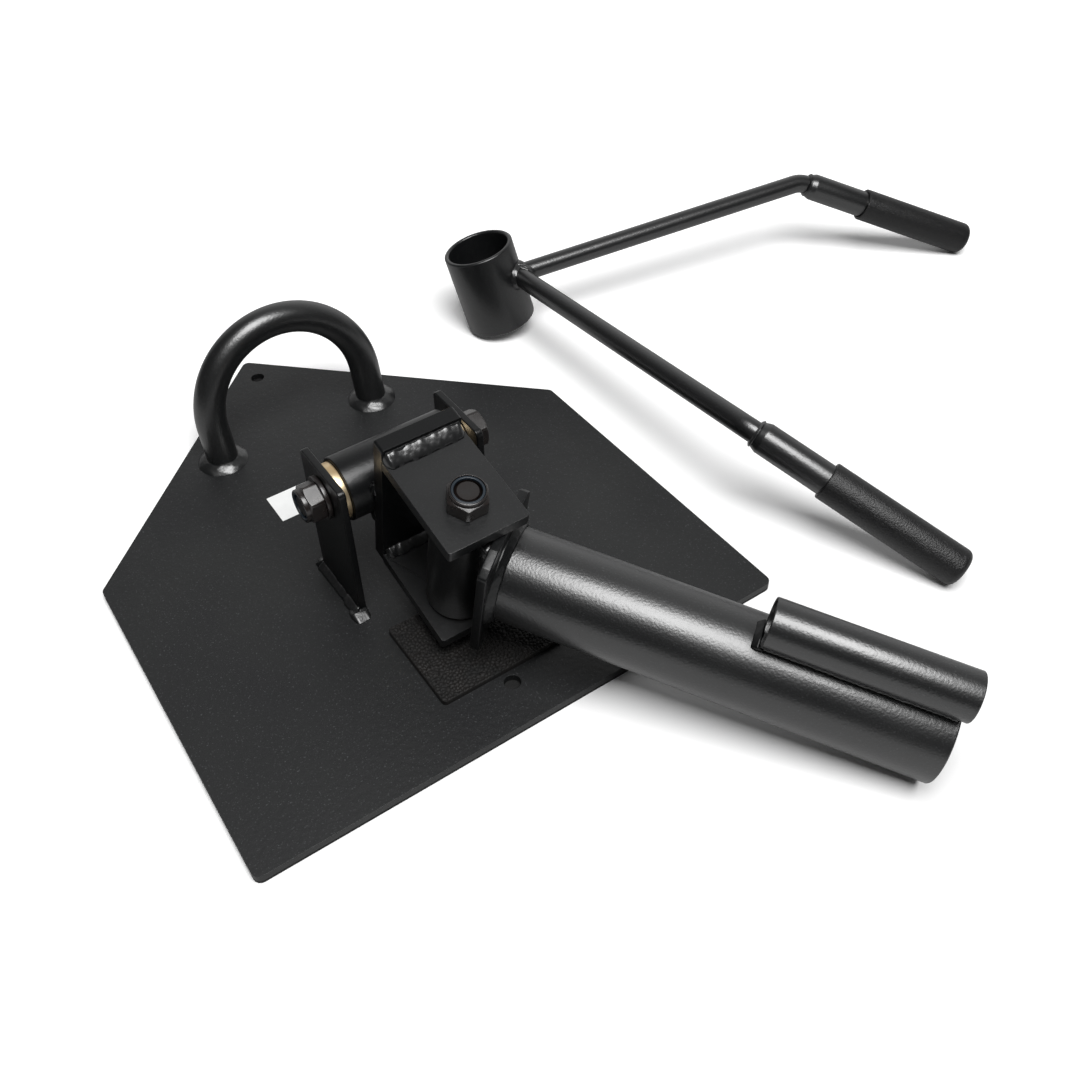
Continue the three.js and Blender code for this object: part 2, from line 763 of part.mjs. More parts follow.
function gripAboveFloor(lean) {
  const [sin, cos] = [Math.sin(lean * rad), Math.cos(lean * rad)];
  const { grip, elbow } = armFrame(1);
  const roundCentre = elbow.clone().addScaledVector(grip, gripLength - rubberEndRound);
  const slope = grip.x * sin + grip.z * cos;
  const centre = rimRadius * sin + roundCentre.x * sin + roundCentre.z * cos;
  const roundRadius = rubberOuter / 2 - rubberEndRound;
  return centre - roundRadius * Math.sqrt(1 - slope * slope) - rubberEndRound;
}

const collarLean = rootOf(gripAboveFloor, 0, steepestAngle) * rad;

const vHandle = new THREE.Group();
vHandle.position.set(handleX, handleY, rimRadius * Math.sin(collarLean));
vHandle.rotation.set(0, -collarLean, handleYawAngle * rad, 'ZYX');
attachment.add(vHandle);

const [collarBore, collarEdge] = [collarInner / 2, collarOuter / 2];
const collarShape = turned([
  [collarBore, collarBevel],
  [collarBore + collarBevel, 0],
  [collarEdge - collarBevel, 0],
  [collarEdge, collarBevel],
  [collarEdge, collarHeight - collarBevel],
  [collarEdge - collarBevel, collarHeight],
  [collarBore + collarBevel, collarHeight],
  [collarBore, collarHeight - collarBevel],
  [collarBore, collarBevel],
], largeSides);
addPart(vHandle, 'handle_collar', collarShape, 'tubeCoat');

function handleArm(side) {
  const { arm, grip, elbow, tubeStart } = armFrame(side);
  const line = new RoundedLine([
    meetPoint.clone().addScaledVector(arm, -armBar),
    elbow,
    elbow.clone().addScaledVector(grip, tubeStart + armStub),
  ], elbowRadius);
  const weld = turned([
    [0, -armWeld],
    [armBar / 2 + armWeld, -armWeld],
    [armBar / 2 + armWeld, armWeld],
    [armBar / 2, armWeldLength],
    [0, armWeldLength],
  ], barSides);
  const collarClear = solidOf(rod(collarOuter + 2 * seatGap, -overrun, collarHeight + overrun, largeSides));
  const reach = collarOuter;
  const otherSide = box(-reach, reach, 0, reach, -overrun, collarHeight + overrun)
    .translate(0, -seatGap / 2, 0)
    .rotateZ(side > 0 ? Math.PI : 0);
  return bentBar(armBar, line)
    .add(solidOf(aimed(weld, arm, meetPoint)))
    .subtract(collarClear)
    .subtract(solidOf(otherSide));
}

function gripTube(tubeStart) {
  const bore = armBar / 2 + seatGap;
  const outer = gripTubeOuter / 2;
  const length = gripLength - rubberEndWall - seatGap - tubeStart;
  return turned([
    [bore, 0],
    [bore + gripShoulderWall, 0],
    [outer, gripShoulder],
    [outer, length],
    [bore, length],
    [bore, 0],
  ], barSides);
}

// A rubber grip with a closed, rounded end.
function rubberGrip() {
  const bore = gripTubeOuter / 2 + seatGap;
  const outer = rubberOuter / 2;
  const length = gripLength - rubberStart;
  const profile = [
    [0, length - rubberEndWall],
    [bore, length - rubberEndWall],
    [bore, 0],
    [outer - rubberEdge, 0],
    [outer, rubberEdge],
  ];
  for (let k = 0; k <= cornerSteps; k++) {
    const angle = Math.PI / 2 * k / cornerSteps;
    profile.push([
      outer - rubberEndRound + rubberEndRound * Math.cos(angle),
      length - rubberEndRound + rubberEndRound * Math.sin(angle),
    ]);
  }
  profile.push([0, length]);
  return turned(profile, barSides);
}

for (const [label, side] of [['left', 1], ['right', -1]]) {
  const { grip, elbow, tubeStart } = armFrame(side);
  addPart(vHandle, `handle_arm_${label}`, handleArm(side), 'tubeCoat');
  const tube = addPart(vHandle, `handle_grip_tube_${label}`, gripTube(tubeStart), 'tubeCoat');
  tube.quaternion.setFromUnitVectors(zAxis, grip);
  tube.position.copy(elbow).addScaledVector(grip, tubeStart);
  const rubber = addPart(vHandle, `handle_grip_${label}`, rubberGrip(), 'grip');
  rubber.quaternion.setFromUnitVectors(zAxis, grip);
  rubber.position.copy(elbow).addScaledVector(grip, rubberStart);
}

export default attachment;
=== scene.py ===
# %% [markdown]
# # A barbell pivot attachment, dressed for its photograph
#
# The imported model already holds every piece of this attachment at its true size: a floor plate
# with two ears, a yoke that tips between them, a sleeve that swings in the yoke, and a loose V
# handle. This lesson gives those pieces the surfaces that a photographer sees: rolled lips,
# softened plate edges, rippled welds, powder coat, rubber and bronze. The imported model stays
# underneath as a fixed frame.

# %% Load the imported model
import math

import bmesh
import bpy
import numpy as np
from mathutils import Matrix


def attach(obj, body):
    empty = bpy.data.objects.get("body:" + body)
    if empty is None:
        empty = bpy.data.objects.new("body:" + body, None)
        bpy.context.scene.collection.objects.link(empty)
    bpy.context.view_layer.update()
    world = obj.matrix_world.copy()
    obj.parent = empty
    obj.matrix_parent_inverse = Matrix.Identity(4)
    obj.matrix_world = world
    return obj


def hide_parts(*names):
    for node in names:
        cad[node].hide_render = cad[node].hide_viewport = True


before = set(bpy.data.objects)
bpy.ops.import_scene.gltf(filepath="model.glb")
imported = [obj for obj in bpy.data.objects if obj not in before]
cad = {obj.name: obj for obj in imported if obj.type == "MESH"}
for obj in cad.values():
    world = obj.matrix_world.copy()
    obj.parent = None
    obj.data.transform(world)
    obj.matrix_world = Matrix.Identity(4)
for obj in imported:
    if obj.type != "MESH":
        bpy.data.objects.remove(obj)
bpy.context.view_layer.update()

print(len(cad), "pieces in the packed model")

# %% [markdown]
# ## Where the moving groups stand
#
# A yoke that has tipped forward and a sleeve that has swung aside are awkward to draw in room
# directions. Each group therefore gets its own frame: the pieces are drawn square to their own
# bolt and are then carried to their place. A frame is a 4 by 4 matrix, and a chain of frames
# is a product of matrices.

# %% Frames of the groups, in millimetres and degrees
def turn(axis, degrees):
    """Rotation about one axis: the two other axes mix by the cosine and sine of the angle."""
    i, j = {"x": (1, 2), "y": (2, 0), "z": (0, 1)}[axis]
    c, s = math.cos(math.radians(degrees)), math.sin(math.radians(degrees))
    made = np.eye(4)
    made[i, i], made[j, j], made[i, j], made[j, i] = c, c, -s, s
    return made


def move(x, y, z):
    """Shift by x, y and z."""
    made = np.eye(4)
    made[:3, 3] = x, y, z
    return made


PLATE_FRONT, PLATE_TOP = -163.1, 7.0  # the front edge's y, the top's height over the floor
PIVOT_UP = 94.4  # height of the pivot bolt over the floor
SWIVEL_OUT = -82.7  # the swivel bolt's y in the yoke
CARRY_BACK, CARRY_HALF = 173.8, 65.7  # the carrying handle's feet: their y, and x to each side
FLOOR = np.eye(4)
YOKE = move(0, 0, PIVOT_UP) @ turn("x", 11.955909)
SLEEVE = YOKE @ move(0, SWIVEL_OUT, 2.1) @ turn("z", 35.5)
V_HANDLE = move(214.3, 203.8, 7.515972) @ turn("z", -50.04) @ turn("y", -15.127699)
BACKWARD = turn("x", 90)  # carries +Z to -Y, the way the sleeves run
print("swivel bolt at", np.round(SLEEVE[:3, 3], 1), "and V handle at", np.round(V_HANDLE[:3, 3], 1))

# %% [markdown]
# ## The camera
#
# The photograph was taken from above and to the left of the sleeve, with a normal lens from
# less than a metre away. The place, the turn and the lens come from matching the plate's
# corners, the sleeves and the bolts of the model to the same points in the picture. The small
# shift moves the frame without turning the camera.

# %% Camera
def camera_axes(azimuth, elevation, roll):
    """Right, up and back of a camera that looks at a point from an azimuth and an elevation."""
    a, e, r = (math.radians(value) for value in (azimuth, elevation, roll))
    back = np.array([math.sin(a) * math.cos(e), -math.cos(a) * math.cos(e), math.sin(e)])
    right = np.cross(-back, [0, 0, 1])
    right /= np.linalg.norm(right)
    up = np.cross(back, right)
    return right * math.cos(r) + up * math.sin(r), up * math.cos(r) - right * math.sin(r), back


def frame_matrix(x_axis, y_axis, z_axis, place):
    """An object's matrix from its three axes and its place in metres."""
    return Matrix(np.vstack([np.column_stack([x_axis, y_axis, z_axis, place]), [0, 0, 0, 1]]))


AZIMUTH, ELEVATION, ROLL = -30.339, 43.081, -3.694  # degrees
TARGET, DISTANCE = np.array([82.75, 26.79, 7]), 830.2  # millimetres
right, up, back = camera_axes(AZIMUTH, ELEVATION, ROLL)
lens = bpy.data.cameras.new("photo_camera")
lens.lens, lens.sensor_width = 37.11, 36
lens.shift_x, lens.shift_y = 0.0504, -0.0478
lens.clip_start, lens.clip_end = 0.05, 30
camera = bpy.data.objects.new("photo_camera", lens)
bpy.context.scene.collection.objects.link(camera)
place = TARGET + DISTANCE * back
camera.matrix_world = frame_matrix(right, up, back, place / 1000)
bpy.context.scene.camera = camera
bpy.context.scene.view_settings.view_transform = "Standard"
print("camera at", np.round(place), "mm")

# %% [markdown]
# ## Floor, backdrop and studio light
#
# The picture shows black steel on pure white with soft shadows. A photographer does that with
# one large softbox overhead, which lays the long bright band along the sleeve, and pale walls
# behind, while the side of the camera stays dark. The floor is light grey paper for every ray
# but the camera's own. Only for those it is whiter than white, so that the lit paper prints as
# white and the shadows stay, and no extra light reaches the object.

# %% Small helpers for shader nodes
def add(tree, kind, inputs=(), **settings):
    """Adds one shader node. Inputs are plain values or the sockets that feed them."""
    made = tree.nodes.new("ShaderNode" + kind)
    for key, value in settings.items():
        setattr(made, key, value)
    for key, value in dict(inputs).items():
        if isinstance(value, bpy.types.NodeSocket):
            tree.links.new(value, made.inputs[key])
        else:
            made.inputs[key].default_value = value
    return made


def empty_tree(owner):
    """The node tree of a material or a world, with nothing in it."""
    owner.use_nodes = True
    owner.node_tree.nodes.clear()
    return owner.node_tree


def calculate(tree, operation, *values):
    """The output of one Math node from its operation and its inputs in order."""
    return add(tree, "Math", dict(enumerate(values)), operation=operation).outputs[0]


def grey(value):
    """A neutral colour from one linear value."""
    return (value, value, value, 1)


# %% Floor
def floor_paper(foot, height, lamp_share, room_share):
    """Grey paper; for camera rays its whiteness rises where the light on it is weaker.

    The lamp's light on the floor is lamp_share / (1 + (r / height) ** 2) ** 2 at a distance r
    from the point under it, and the room adds room_share. The whiteness is 1.12 over the sum.
    """
    material = bpy.data.materials.new("floor_paper")
    tree = empty_tree(material)
    spot = add(tree, "TexCoord").outputs["Object"]
    away = add(tree, "VectorMath", {0: spot, 1: (foot[0], foot[1], 0)}, operation="DISTANCE")
    slope = calculate(tree, "DIVIDE", away.outputs["Value"], height)
    spread = calculate(tree, "ADD", calculate(tree, "POWER", slope, 2), 1)
    weaker = calculate(tree, "POWER", spread, -2)
    light = calculate(tree, "MULTIPLY_ADD", weaker, lamp_share, room_share)
    paper = add(tree, "BsdfDiffuse", {"Color": grey(0.55)})
    whiter = add(tree, "BsdfDiffuse", {"Color": calculate(tree, "DIVIDE", 1.12, light)})
    ray = add(tree, "LightPath").outputs["Is Camera Ray"]
    both = add(tree, "MixShader", {0: ray, 1: paper.outputs[0], 2: whiter.outputs[0]})
    add(tree, "OutputMaterial", {"Surface": both.outputs[0]})
    return material


LAMP = np.array((-0.06, -0.79, 1.97))  # centre of the softbox, metres
floor_mesh = bpy.data.meshes.new("studio_floor")
edge = 8  # metres from the middle of the floor
floor_corners = [(-edge, -edge, 0), (edge, -edge, 0), (edge, edge, 0), (-edge, edge, 0)]
floor_mesh.from_pydata(floor_corners, [], [(0, 1, 2, 3)])
floor_mesh.materials.append(floor_paper(LAMP, LAMP[2], lamp_share=1.30, room_share=0.16))
studio_floor = bpy.data.objects.new("studio_floor", floor_mesh)
bpy.context.scene.collection.objects.link(studio_floor)

# %% Backdrop and softbox
def studio_world():
    """White for the camera; for all else a pale wall behind and a dark room in front.

    The share of wall grows with the direction's dot product with a vector that points
    roughly from the camera past the object.
    """
    world = bpy.data.worlds.new("studio")
    bpy.context.scene.world = world
    tree = empty_tree(world)
    direction = add(tree, "TexCoord").outputs["Generated"]
    ahead = add(tree, "VectorMath", {0: direction, 1: (0.68, 0.73, 0)}, operation="DOT_PRODUCT")
    wall = add(tree, "MapRange", {
        "Value": ahead.outputs["Value"], "From Min": 0.2, "From Max": 1,
        "To Min": 0.07, "To Max": 0.85,
    })
    room = add(tree, "Background", {"Color": grey(1), "Strength": wall.outputs["Result"]})
    white = add(tree, "Background", {"Color": grey(1), "Strength": 1})
    ray = add(tree, "LightPath").outputs["Is Camera Ray"]
    both = add(tree, "MixShader", {0: ray, 1: room.outputs[0], 2: white.outputs[0]})
    add(tree, "OutputWorld", {"Surface": both.outputs[0]})


def softbox(name, centre, aim, lengthwise, length, width, watts):
    """A rectangular area light at a point, turned towards another, its length along a line.

    Its back is the direction from the aim, its side is the line without its share of the back.
    """
    light = bpy.data.lights.new(name, "AREA")
    light.shape, light.size, light.size_y, light.energy = "RECTANGLE", length, width, watts
    lamp = bpy.data.objects.new(name, light)
    bpy.context.scene.collection.objects.link(lamp)
    back = np.subtract(centre, aim) / np.linalg.norm(np.subtract(centre, aim))
    side = lengthwise - np.dot(lengthwise, back) * back
    side /= np.linalg.norm(side)
    lamp.matrix_world = frame_matrix(side, np.cross(back, side), back, centre)
    print(name, "is", length, "by", width, "m and takes", watts, "W")


studio_world()
softbox("softbox_overhead", LAMP, aim=(0.10, -0.20, 0.05), lengthwise=-SLEEVE[:3, 1],
        length=1.35, width=1.15, watts=56)

# %% [markdown]
# ## Surfaces from arrays
#
# Almost every piece here is a profile carried along a line: a tube is a small closed outline
# carried round an axis, a bent bar is a circle carried along a path, and a weld bead is a
# rounded diamond that swells once per puddle. Each can be written as a grid of points, one row
# per place along the line and one column per place round the section. numpy works such a grid
# out in one go, and one helper turns it into a piece.

# %% From a grid of points to a piece
def new_piece(name, mesh, body, material, replaces=()):
    """Puts a mesh in the scene as a piece that rides on a body and wears a material."""
    mesh.materials.clear()
    mesh.materials.append(material)
    piece = bpy.data.objects.new(name, mesh)
    bpy.context.scene.collection.objects.link(piece)
    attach(piece, body)
    if replaces:
        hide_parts(*replaces)
    return piece


def mend(mesh, flatten=False):
    """Merges doubles, then dissolves the joins in flat faces or else turns faces outward."""
    work = bmesh.new()
    work.from_mesh(mesh)
    bmesh.ops.remove_doubles(work, verts=work.verts, dist=2e-6)
    if flatten:
        bmesh.ops.dissolve_limit(work, angle_limit=math.radians(1), verts=work.verts,
                                 edges=work.edges)
    else:
        bmesh.ops.recalc_face_normals(work, faces=work.faces)
    work.to_mesh(mesh)
    work.free()
    mesh.shade_smooth()


def closed_mesh(name, points, faces, crease):
    """A mesh in metres, faces outward, its edges sharp above an angle."""
    mesh = bpy.data.meshes.new(name)
    mesh.from_pydata(points * 0.001, [], faces)
    mend(mesh)
    mesh.set_sharp_from_angle(angle=math.radians(crease))
    return mesh


def grid_piece(name, grid, place, body, material, slot=None, replaces=(), ring=False, crease=40):
    """A piece from grid[v, u]: u runs round the section and closes, v runs along.

    With ring the last row joins the first. A row that is all one point closes an end. The
    points are carried to their place by a frame.
    """
    rows, columns = grid.shape[:2]
    v = np.arange(rows if ring else rows - 1)[:, None]
    u = np.arange(columns)[None, :]
    after, beside = (v + 1) % rows, (u + 1) % columns
    faces = np.stack([
        v * columns + u, v * columns + beside, after * columns + beside, after * columns + u,
    ], -1).reshape(-1, 4)
    points = grid.reshape(-1, 3) @ place[:3, :3].T + place[:3, 3]
    new_piece(name, closed_mesh(name, points, faces, crease), body, material, replaces)


def redrawn(node, ending, grid, place, body, material, slot, **how):
    """A piece that takes the place of a packed one and carries its name with an ending."""
    grid_piece(f"{node}_{ending}", grid, place, body, material, slot, [node], **how)


def capped(grid):
    """Closes both ends of an open grid at the middle of its end rows."""
    first, last = grid[:1].mean(1, keepdims=True), grid[-1:].mean(1, keepdims=True)
    return np.concatenate([first + 0 * grid[:1], grid, last + 0 * grid[-1:]])


# %% Rounded outlines and turned pieces
def unit(vectors):
    """Vectors scaled to length one."""
    return vectors / np.linalg.norm(vectors, axis=-1, keepdims=True)


def rounded(corners, radii, steps=6):
    """A closed outline with each corner turned into an arc that touches both its sides.

    The arc's centre lies on the bisector, radius / sin(half angle) from the corner. Between
    the two touching points the arc is the spherical mix of the two directions.
    """
    corner = np.asarray(corners, float)
    radius = np.broadcast_to(np.asarray(radii, float), len(corner))[:, None]
    before = unit(np.roll(corner, 1, 0) - corner)
    after = unit(np.roll(corner, -1, 0) - corner)
    half = np.arccos(np.clip((before * after).sum(1, keepdims=True), -1, 1)) / 2
    centre = corner + unit(before + after) * radius / np.sin(half)
    start = corner + before * radius / np.tan(half) - centre
    end = corner + after * radius / np.tan(half) - centre
    sweep = (math.pi - 2 * half)[:, None]
    share = np.linspace(0, 1, steps)[None, :, None]
    arc = (np.sin((1 - share) * sweep) * start[:, None] + np.sin(share * sweep) * end[:, None])
    return (centre[:, None] + arc / np.sin(sweep)).reshape(-1, 2)


def full_circle(count):
    """Evenly spaced angles once round."""
    return np.linspace(0, 2 * math.pi, count, endpoint=False)


def turned(profile, sides=96):
    """Points (r cos u, r sin u, h) for each profile point (r, h)."""
    profile = np.asarray(profile, float)
    angle = full_circle(sides)[None, :]
    r, h = profile[:, :1], profile[:, 1:]
    return np.stack([r * np.cos(angle), r * np.sin(angle), h + 0 * angle], -1)


def tube(inner, outer, start, end, lip, sides=96):
    """A ring turned from a rectangle with rounded corners; the rows close on themselves."""
    corners = [(inner / 2, start), (outer / 2, start), (outer / 2, end), (inner / 2, end)]
    return turned(rounded(corners, lip), sides)


print("a 60 mm tube has", tube(52, 60, 0, 100, 1).shape, "grid points")

# %% Bars along a path and weld beads
def swept(path, radius, reference, sides, ring=False):
    """Points path + radius * (cos a * side + sin a * top) for each station of a path.

    The side is square to the path and to a reference direction that no part of it follows.
    """
    if ring:
        along = unit(np.roll(path, -1, 0) - np.roll(path, 1, 0))
    else:
        along = unit(np.gradient(path, axis=0))
    side = unit(np.cross(along, reference))
    top = np.cross(side, along)
    angle = full_circle(sides)[None, :, None]
    radius = np.atleast_2d(radius)[..., None]
    return path[:, None] + radius * (np.cos(angle) * side[:, None] + np.sin(angle) * top[:, None])


def travelled(path):
    """The distance along a path to each of its stations."""
    return np.concatenate([[0], np.cumsum(np.linalg.norm(np.diff(path, axis=0), axis=1))])


def at_distances(path, distances):
    """The points of a path at some distances along it."""
    travel = travelled(path)
    return np.stack([np.interp(distances, travel, path[:, k]) for k in range(3)], -1)


def along_path(corners, bend, step):
    """A path through corners whose bends are arcs, with a station about every step.

    Each bend is worked out like a corner in rounded, here in three dimensions.
    """
    corner = np.asarray(corners, float)
    ahead = unit(np.diff(corner, axis=0))
    half = np.arccos(np.clip((-ahead[:-1] * ahead[1:]).sum(1, keepdims=True), -1, 1)) / 2
    reach = bend / np.tan(half)
    enter, leave = corner[1:-1] - ahead[:-1] * reach, corner[1:-1] + ahead[1:] * reach
    centre = corner[1:-1] + unit(ahead[1:] - ahead[:-1]) * bend / np.sin(half)
    sweep = math.pi - 2 * half
    runs = [corner[:1]]
    for i in range(len(enter)):
        share = np.linspace(0, 1, max(4, int(bend * sweep[i, 0] / step)))[:, None]
        mix = np.sin((1 - share) * sweep[i]) * (enter[i] - centre[i])
        mix = mix + np.sin(share * sweep[i]) * (leave[i] - centre[i])
        runs.append(centre[i] + mix / np.sin(sweep[i]))
    runs.append(corner[-1:])
    points = np.concatenate(runs)
    length = travelled(points)[-1]
    return at_distances(points, np.linspace(0, length, max(8, int(length / step))))


def slow_noise(count, knots, seed, ring):
    """Smooth random values between -1 and 1: a few random knots joined by a cosine blend."""
    dice = np.random.default_rng(seed).uniform(-1, 1, knots + 1)
    if ring:
        dice[-1] = dice[0]
    spot = np.linspace(0, knots, count, endpoint=not ring)
    low = np.minimum(spot.astype(int), knots - 1)
    mix = (1 - np.cos(math.pi * (spot - low))) / 2
    return dice[low] * (1 - mix) + dice[low + 1] * mix


def bead_grid(path, reference, wide, high, puddle, depth, seed, ring=False, slant=0.5, swell=1.0):
    """A weld bead: a fillet section along a path, one low swelling per puddle.

    The section is |x / wide| ** p + |y / high| ** p = 1 with p = 1.2, a diamond with rounded
    corners, whose sloping side is the face of the fillet. It is scaled by 1 + depth * ripple +
    swell * a slow random swelling. The ripple is the cosine of the distance in puddles, led by
    slant puddles from one toe of the face to the other, so that each edge bows or runs aslant.
    Open ends are rounded off like the end of an ellipse.
    """
    travel = travelled(path)
    count = max(1, round(travel[-1] / puddle))
    sides, power = 32, 1.2
    angle = full_circle(sides)[None, :]
    bow = 0.4 * np.sin(2 * angle) ** 2
    led = travel[:, None] / travel[-1] * count + bow + slant * np.sin(angle)
    ripple = np.cos(2 * math.pi * led) + 0.35 * np.cos(4 * math.pi * led)
    knots = max(3, round(travel[-1] / (1.3 * puddle)))
    slow = slow_noise(len(path), knots, seed, ring)[:, None]
    sway = slow_noise(len(path), knots, seed + 50, ring)[:, None] * np.cos(angle)
    scale = 1 + depth * ripple + swell * (0.09 * slow + 0.07 * sway)
    if not ring:
        close = np.clip(np.minimum(travel, travel[-1] - travel)[:, None] / (0.45 * wide), 0, 1)
        scale = scale * np.sqrt(np.clip(1 - (1 - close) ** 2, 0, 1))
    spread = np.abs(np.cos(angle) / wide) ** power + np.abs(np.sin(angle) / high) ** power
    return swept(path, scale * spread ** (-1 / power), reference, sides, ring)


# %% [markdown]
# ## Finishes
#
# Three effects return in several finishes, so each is one node group. Powder coat has a fine
# grain and tiny pale specks where the powder flowed together, rubber sheet and pebbled rubber
# have small cells, and every surface is a little uneven in tone from handling. The groups give
# out only heights, masks and values. The shader and its constants stay in each material, so
# that the finish travels with the part.

# %% Groups for coat grain, rubber cells and handling marks
def effect(name, inputs, outputs):
    """An empty node group with a vector input called Place, number inputs and value outputs."""
    group = bpy.data.node_groups.new(name, "ShaderNodeTree")
    group.interface.new_socket("Place", in_out="INPUT", socket_type="NodeSocketVector")
    for label in inputs:
        group.interface.new_socket(label, in_out="INPUT", socket_type="NodeSocketFloat")
    for label in outputs:
        group.interface.new_socket(label, in_out="OUTPUT", socket_type="NodeSocketFloat")
    return group, group.nodes.new("NodeGroupInput"), group.nodes.new("NodeGroupOutput")


def noise(group, given, scale, detail):
    """The value of a noise texture whose scale is one of the group's inputs."""
    return add(group, "TexNoise", {"Vector": given.outputs["Place"],
                                   "Scale": given.outputs[scale], "Detail": detail}).outputs[0]


def coat_grain():
    """Height of coarse flow plus fine grain, and a mask of the few highest grains."""
    group, given, made = effect("coat_grain", ["Flow", "Grain"], ["Height", "Specks"])
    flow = noise(group, given, "Flow", 1)
    grain = noise(group, given, "Grain", 2)
    height = calculate(group, "ADD", flow, calculate(group, "MULTIPLY", grain, 0.35))
    specks = add(group, "MapRange", {"Value": grain, "From Min": 0.62, "From Max": 0.76})
    group.links.new(height, made.inputs["Height"])
    group.links.new(specks.outputs["Result"], made.inputs["Specks"])
    return group


def rubber_cells():
    """Height of small cells: a noise less the distance to the nearest cell point."""
    group, given, made = effect("rubber_cells", ["Cells"], ["Height"])
    cells = add(group, "TexVoronoi", {"Vector": given.outputs["Place"],
                                      "Scale": given.outputs["Cells"]})
    blur = noise(group, given, "Cells", 2)
    domes = calculate(group, "SUBTRACT", blur, cells.outputs["Distance"])
    group.links.new(domes, made.inputs["Height"])
    return group


def handling():
    """A slow cloud from 0 to 1, for tone and gloss that wander over a hand's breadth."""
    group, given, made = effect("handling", ["Size"], ["Cloud"])
    cloud = noise(group, given, "Size", 4)
    spread = add(group, "MapRange", {"Value": cloud, "From Min": 0.3, "From Max": 0.7})
    group.links.new(spread.outputs["Result"], made.inputs["Cloud"])
    return group


GRAIN, CELLS, HANDLING = coat_grain(), rubber_cells(), handling()
print("effects:", ", ".join(group.name for group in (GRAIN, CELLS, HANDLING)))

# %% One recipe for all finishes
def linear(colour):
    """A screen colour of 0 to 255 a channel as the linear colour that a shader takes."""
    screen = np.array(colour) / 255
    value = np.where(screen <= 0.04045, screen / 12.92, ((screen + 0.055) / 1.055) ** 2.4)
    return (*value.tolist(), 1)


def group_node(tree, group, place, **values):
    """Places an effect in a material and feeds it the place and its own values."""
    made = add(tree, "Group", node_tree=group)
    tree.links.new(place, made.inputs["Place"])
    for label, value in values.items():
        made.inputs[label].default_value = value
    return made


def finish(name, dark, pale, gloss, bump, effect_group, values, metallic=0.0, specks=None,
           size=14, ior=1.5):
    """A Principled finish whose tone and gloss follow the handling cloud.

    The base colour runs from dark to pale, the roughness from the first to the second value
    of gloss, and the effect's height drives the bump by its strength and depth. Specks are the
    share and the colour that the highest grains take. Size is how fine the cloud is.
    """
    material = bpy.data.materials.new(name)
    tree = empty_tree(material)
    spot = add(tree, "TexCoord").outputs["Object"]
    cloud = group_node(tree, HANDLING, spot, Size=size).outputs["Cloud"]
    detail = group_node(tree, effect_group, spot, **values)
    colour = add(tree, "Mix", {0: cloud, 6: linear(dark), 7: linear(pale)},
                 data_type="RGBA").outputs[2]
    if specks:
        amount = calculate(tree, "MULTIPLY", detail.outputs["Specks"], specks[0])
        colour = add(tree, "Mix", {0: amount, 6: colour, 7: linear(specks[1])},
                     data_type="RGBA").outputs[2]
    rough = add(tree, "MapRange", {"Value": cloud, "To Min": gloss[0], "To Max": gloss[1]})
    relief = add(tree, "Bump", {"Strength": bump[0], "Distance": bump[1],
                                "Height": detail.outputs["Height"]})
    shader = add(tree, "BsdfPrincipled", {
        "Base Color": colour, "Roughness": rough.outputs["Result"], "Metallic": metallic,
        "IOR": ior, "Normal": relief.outputs[0],
    })
    add(tree, "OutputMaterial", {"Surface": shader.outputs[0]})
    return material


# %% The finishes of this attachment
FINE = {"Flow": 900, "Grain": 2600}
satin_coat = finish("satin_powder_coat", (13, 14, 16), (27, 28, 28), (0.52, 0.42), (0.5, 0.0003),
                    GRAIN, {"Flow": 260, "Grain": 900}, specks=(0.5, (84, 86, 88)), size=10)
tube_coat = finish("tube_powder_coat", (5, 6, 7), (9, 10, 11), (0.36, 0.30), (0.4, 0.00025),
                   GRAIN, {"Flow": 620, "Grain": 1000}, specks=(0.3, (84, 86, 88)), ior=1.85)
yoke_coat = finish("yoke_powder_coat", (9, 10, 11), (14, 15, 16), (0.38, 0.30), (0.35, 0.0002),
                   GRAIN, {"Flow": 420, "Grain": 1700}, specks=(0.4, (76, 78, 80)), ior=1.65)
# Painted shade: a darker copy of the powder coat with weaker reflections, for the pieces that sit
# in shade.
shaded_coat = finish("shaded_powder_coat", (5, 6, 7), (9, 10, 11), (0.36, 0.30), (0.35, 0.0002),
                  GRAIN, {"Flow": 420, "Grain": 1700}, specks=(0.3, (70, 72, 74)), ior=1.42)
weld_coat = finish("coated_weld", (8, 9, 10), (14, 15, 16), (0.36, 0.26), (0.3, 0.0005),
                   GRAIN, {"Flow": 260, "Grain": 1100}, size=60, ior=1.8)
sheet_rubber = finish("sheet_rubber", (14, 14, 14), (22, 22, 22), (0.95, 0.8), (0.6, 0.0004),
                      CELLS, {"Cells": 600})
pebble_rubber = finish("pebbled_rubber", (10, 10, 10), (20, 17, 15), (0.75, 0.62), (0.4, 0.0002),
                       CELLS, {"Cells": 1600}, size=90, ior=1.4)
grip_rubber = finish("grip_rubber", (7, 7, 8), (12, 12, 13), (0.44, 0.37), (0.8, 0.0004),
                     GRAIN, {"Flow": 1000, "Grain": 2000}, specks=(0.4, (60, 61, 63)))
bronze = finish("bearing_bronze", (214, 184, 138), (240, 222, 188), (0.40, 0.30), (0.2, 0.0001),
                GRAIN, {"Flow": 900, "Grain": 2400}, metallic=0.9, size=80)
black_zinc = finish("black_zinc", (18, 14, 13), (29, 23, 21), (0.34, 0.24), (0.12, 0.0001),
                    GRAIN, FINE, metallic=0.1, size=120, ior=1.7)
plain_steel = finish("plain_steel", (120, 121, 123), (150, 151, 153), (0.42, 0.32), (0.15, 0.0001),
                     GRAIN, FINE, metallic=0.95, size=60)
nylon = finish("nylon_ring", (18, 25, 32), (28, 39, 48), (0.45, 0.35), (0.2, 0.0001),
               GRAIN, FINE, size=120)
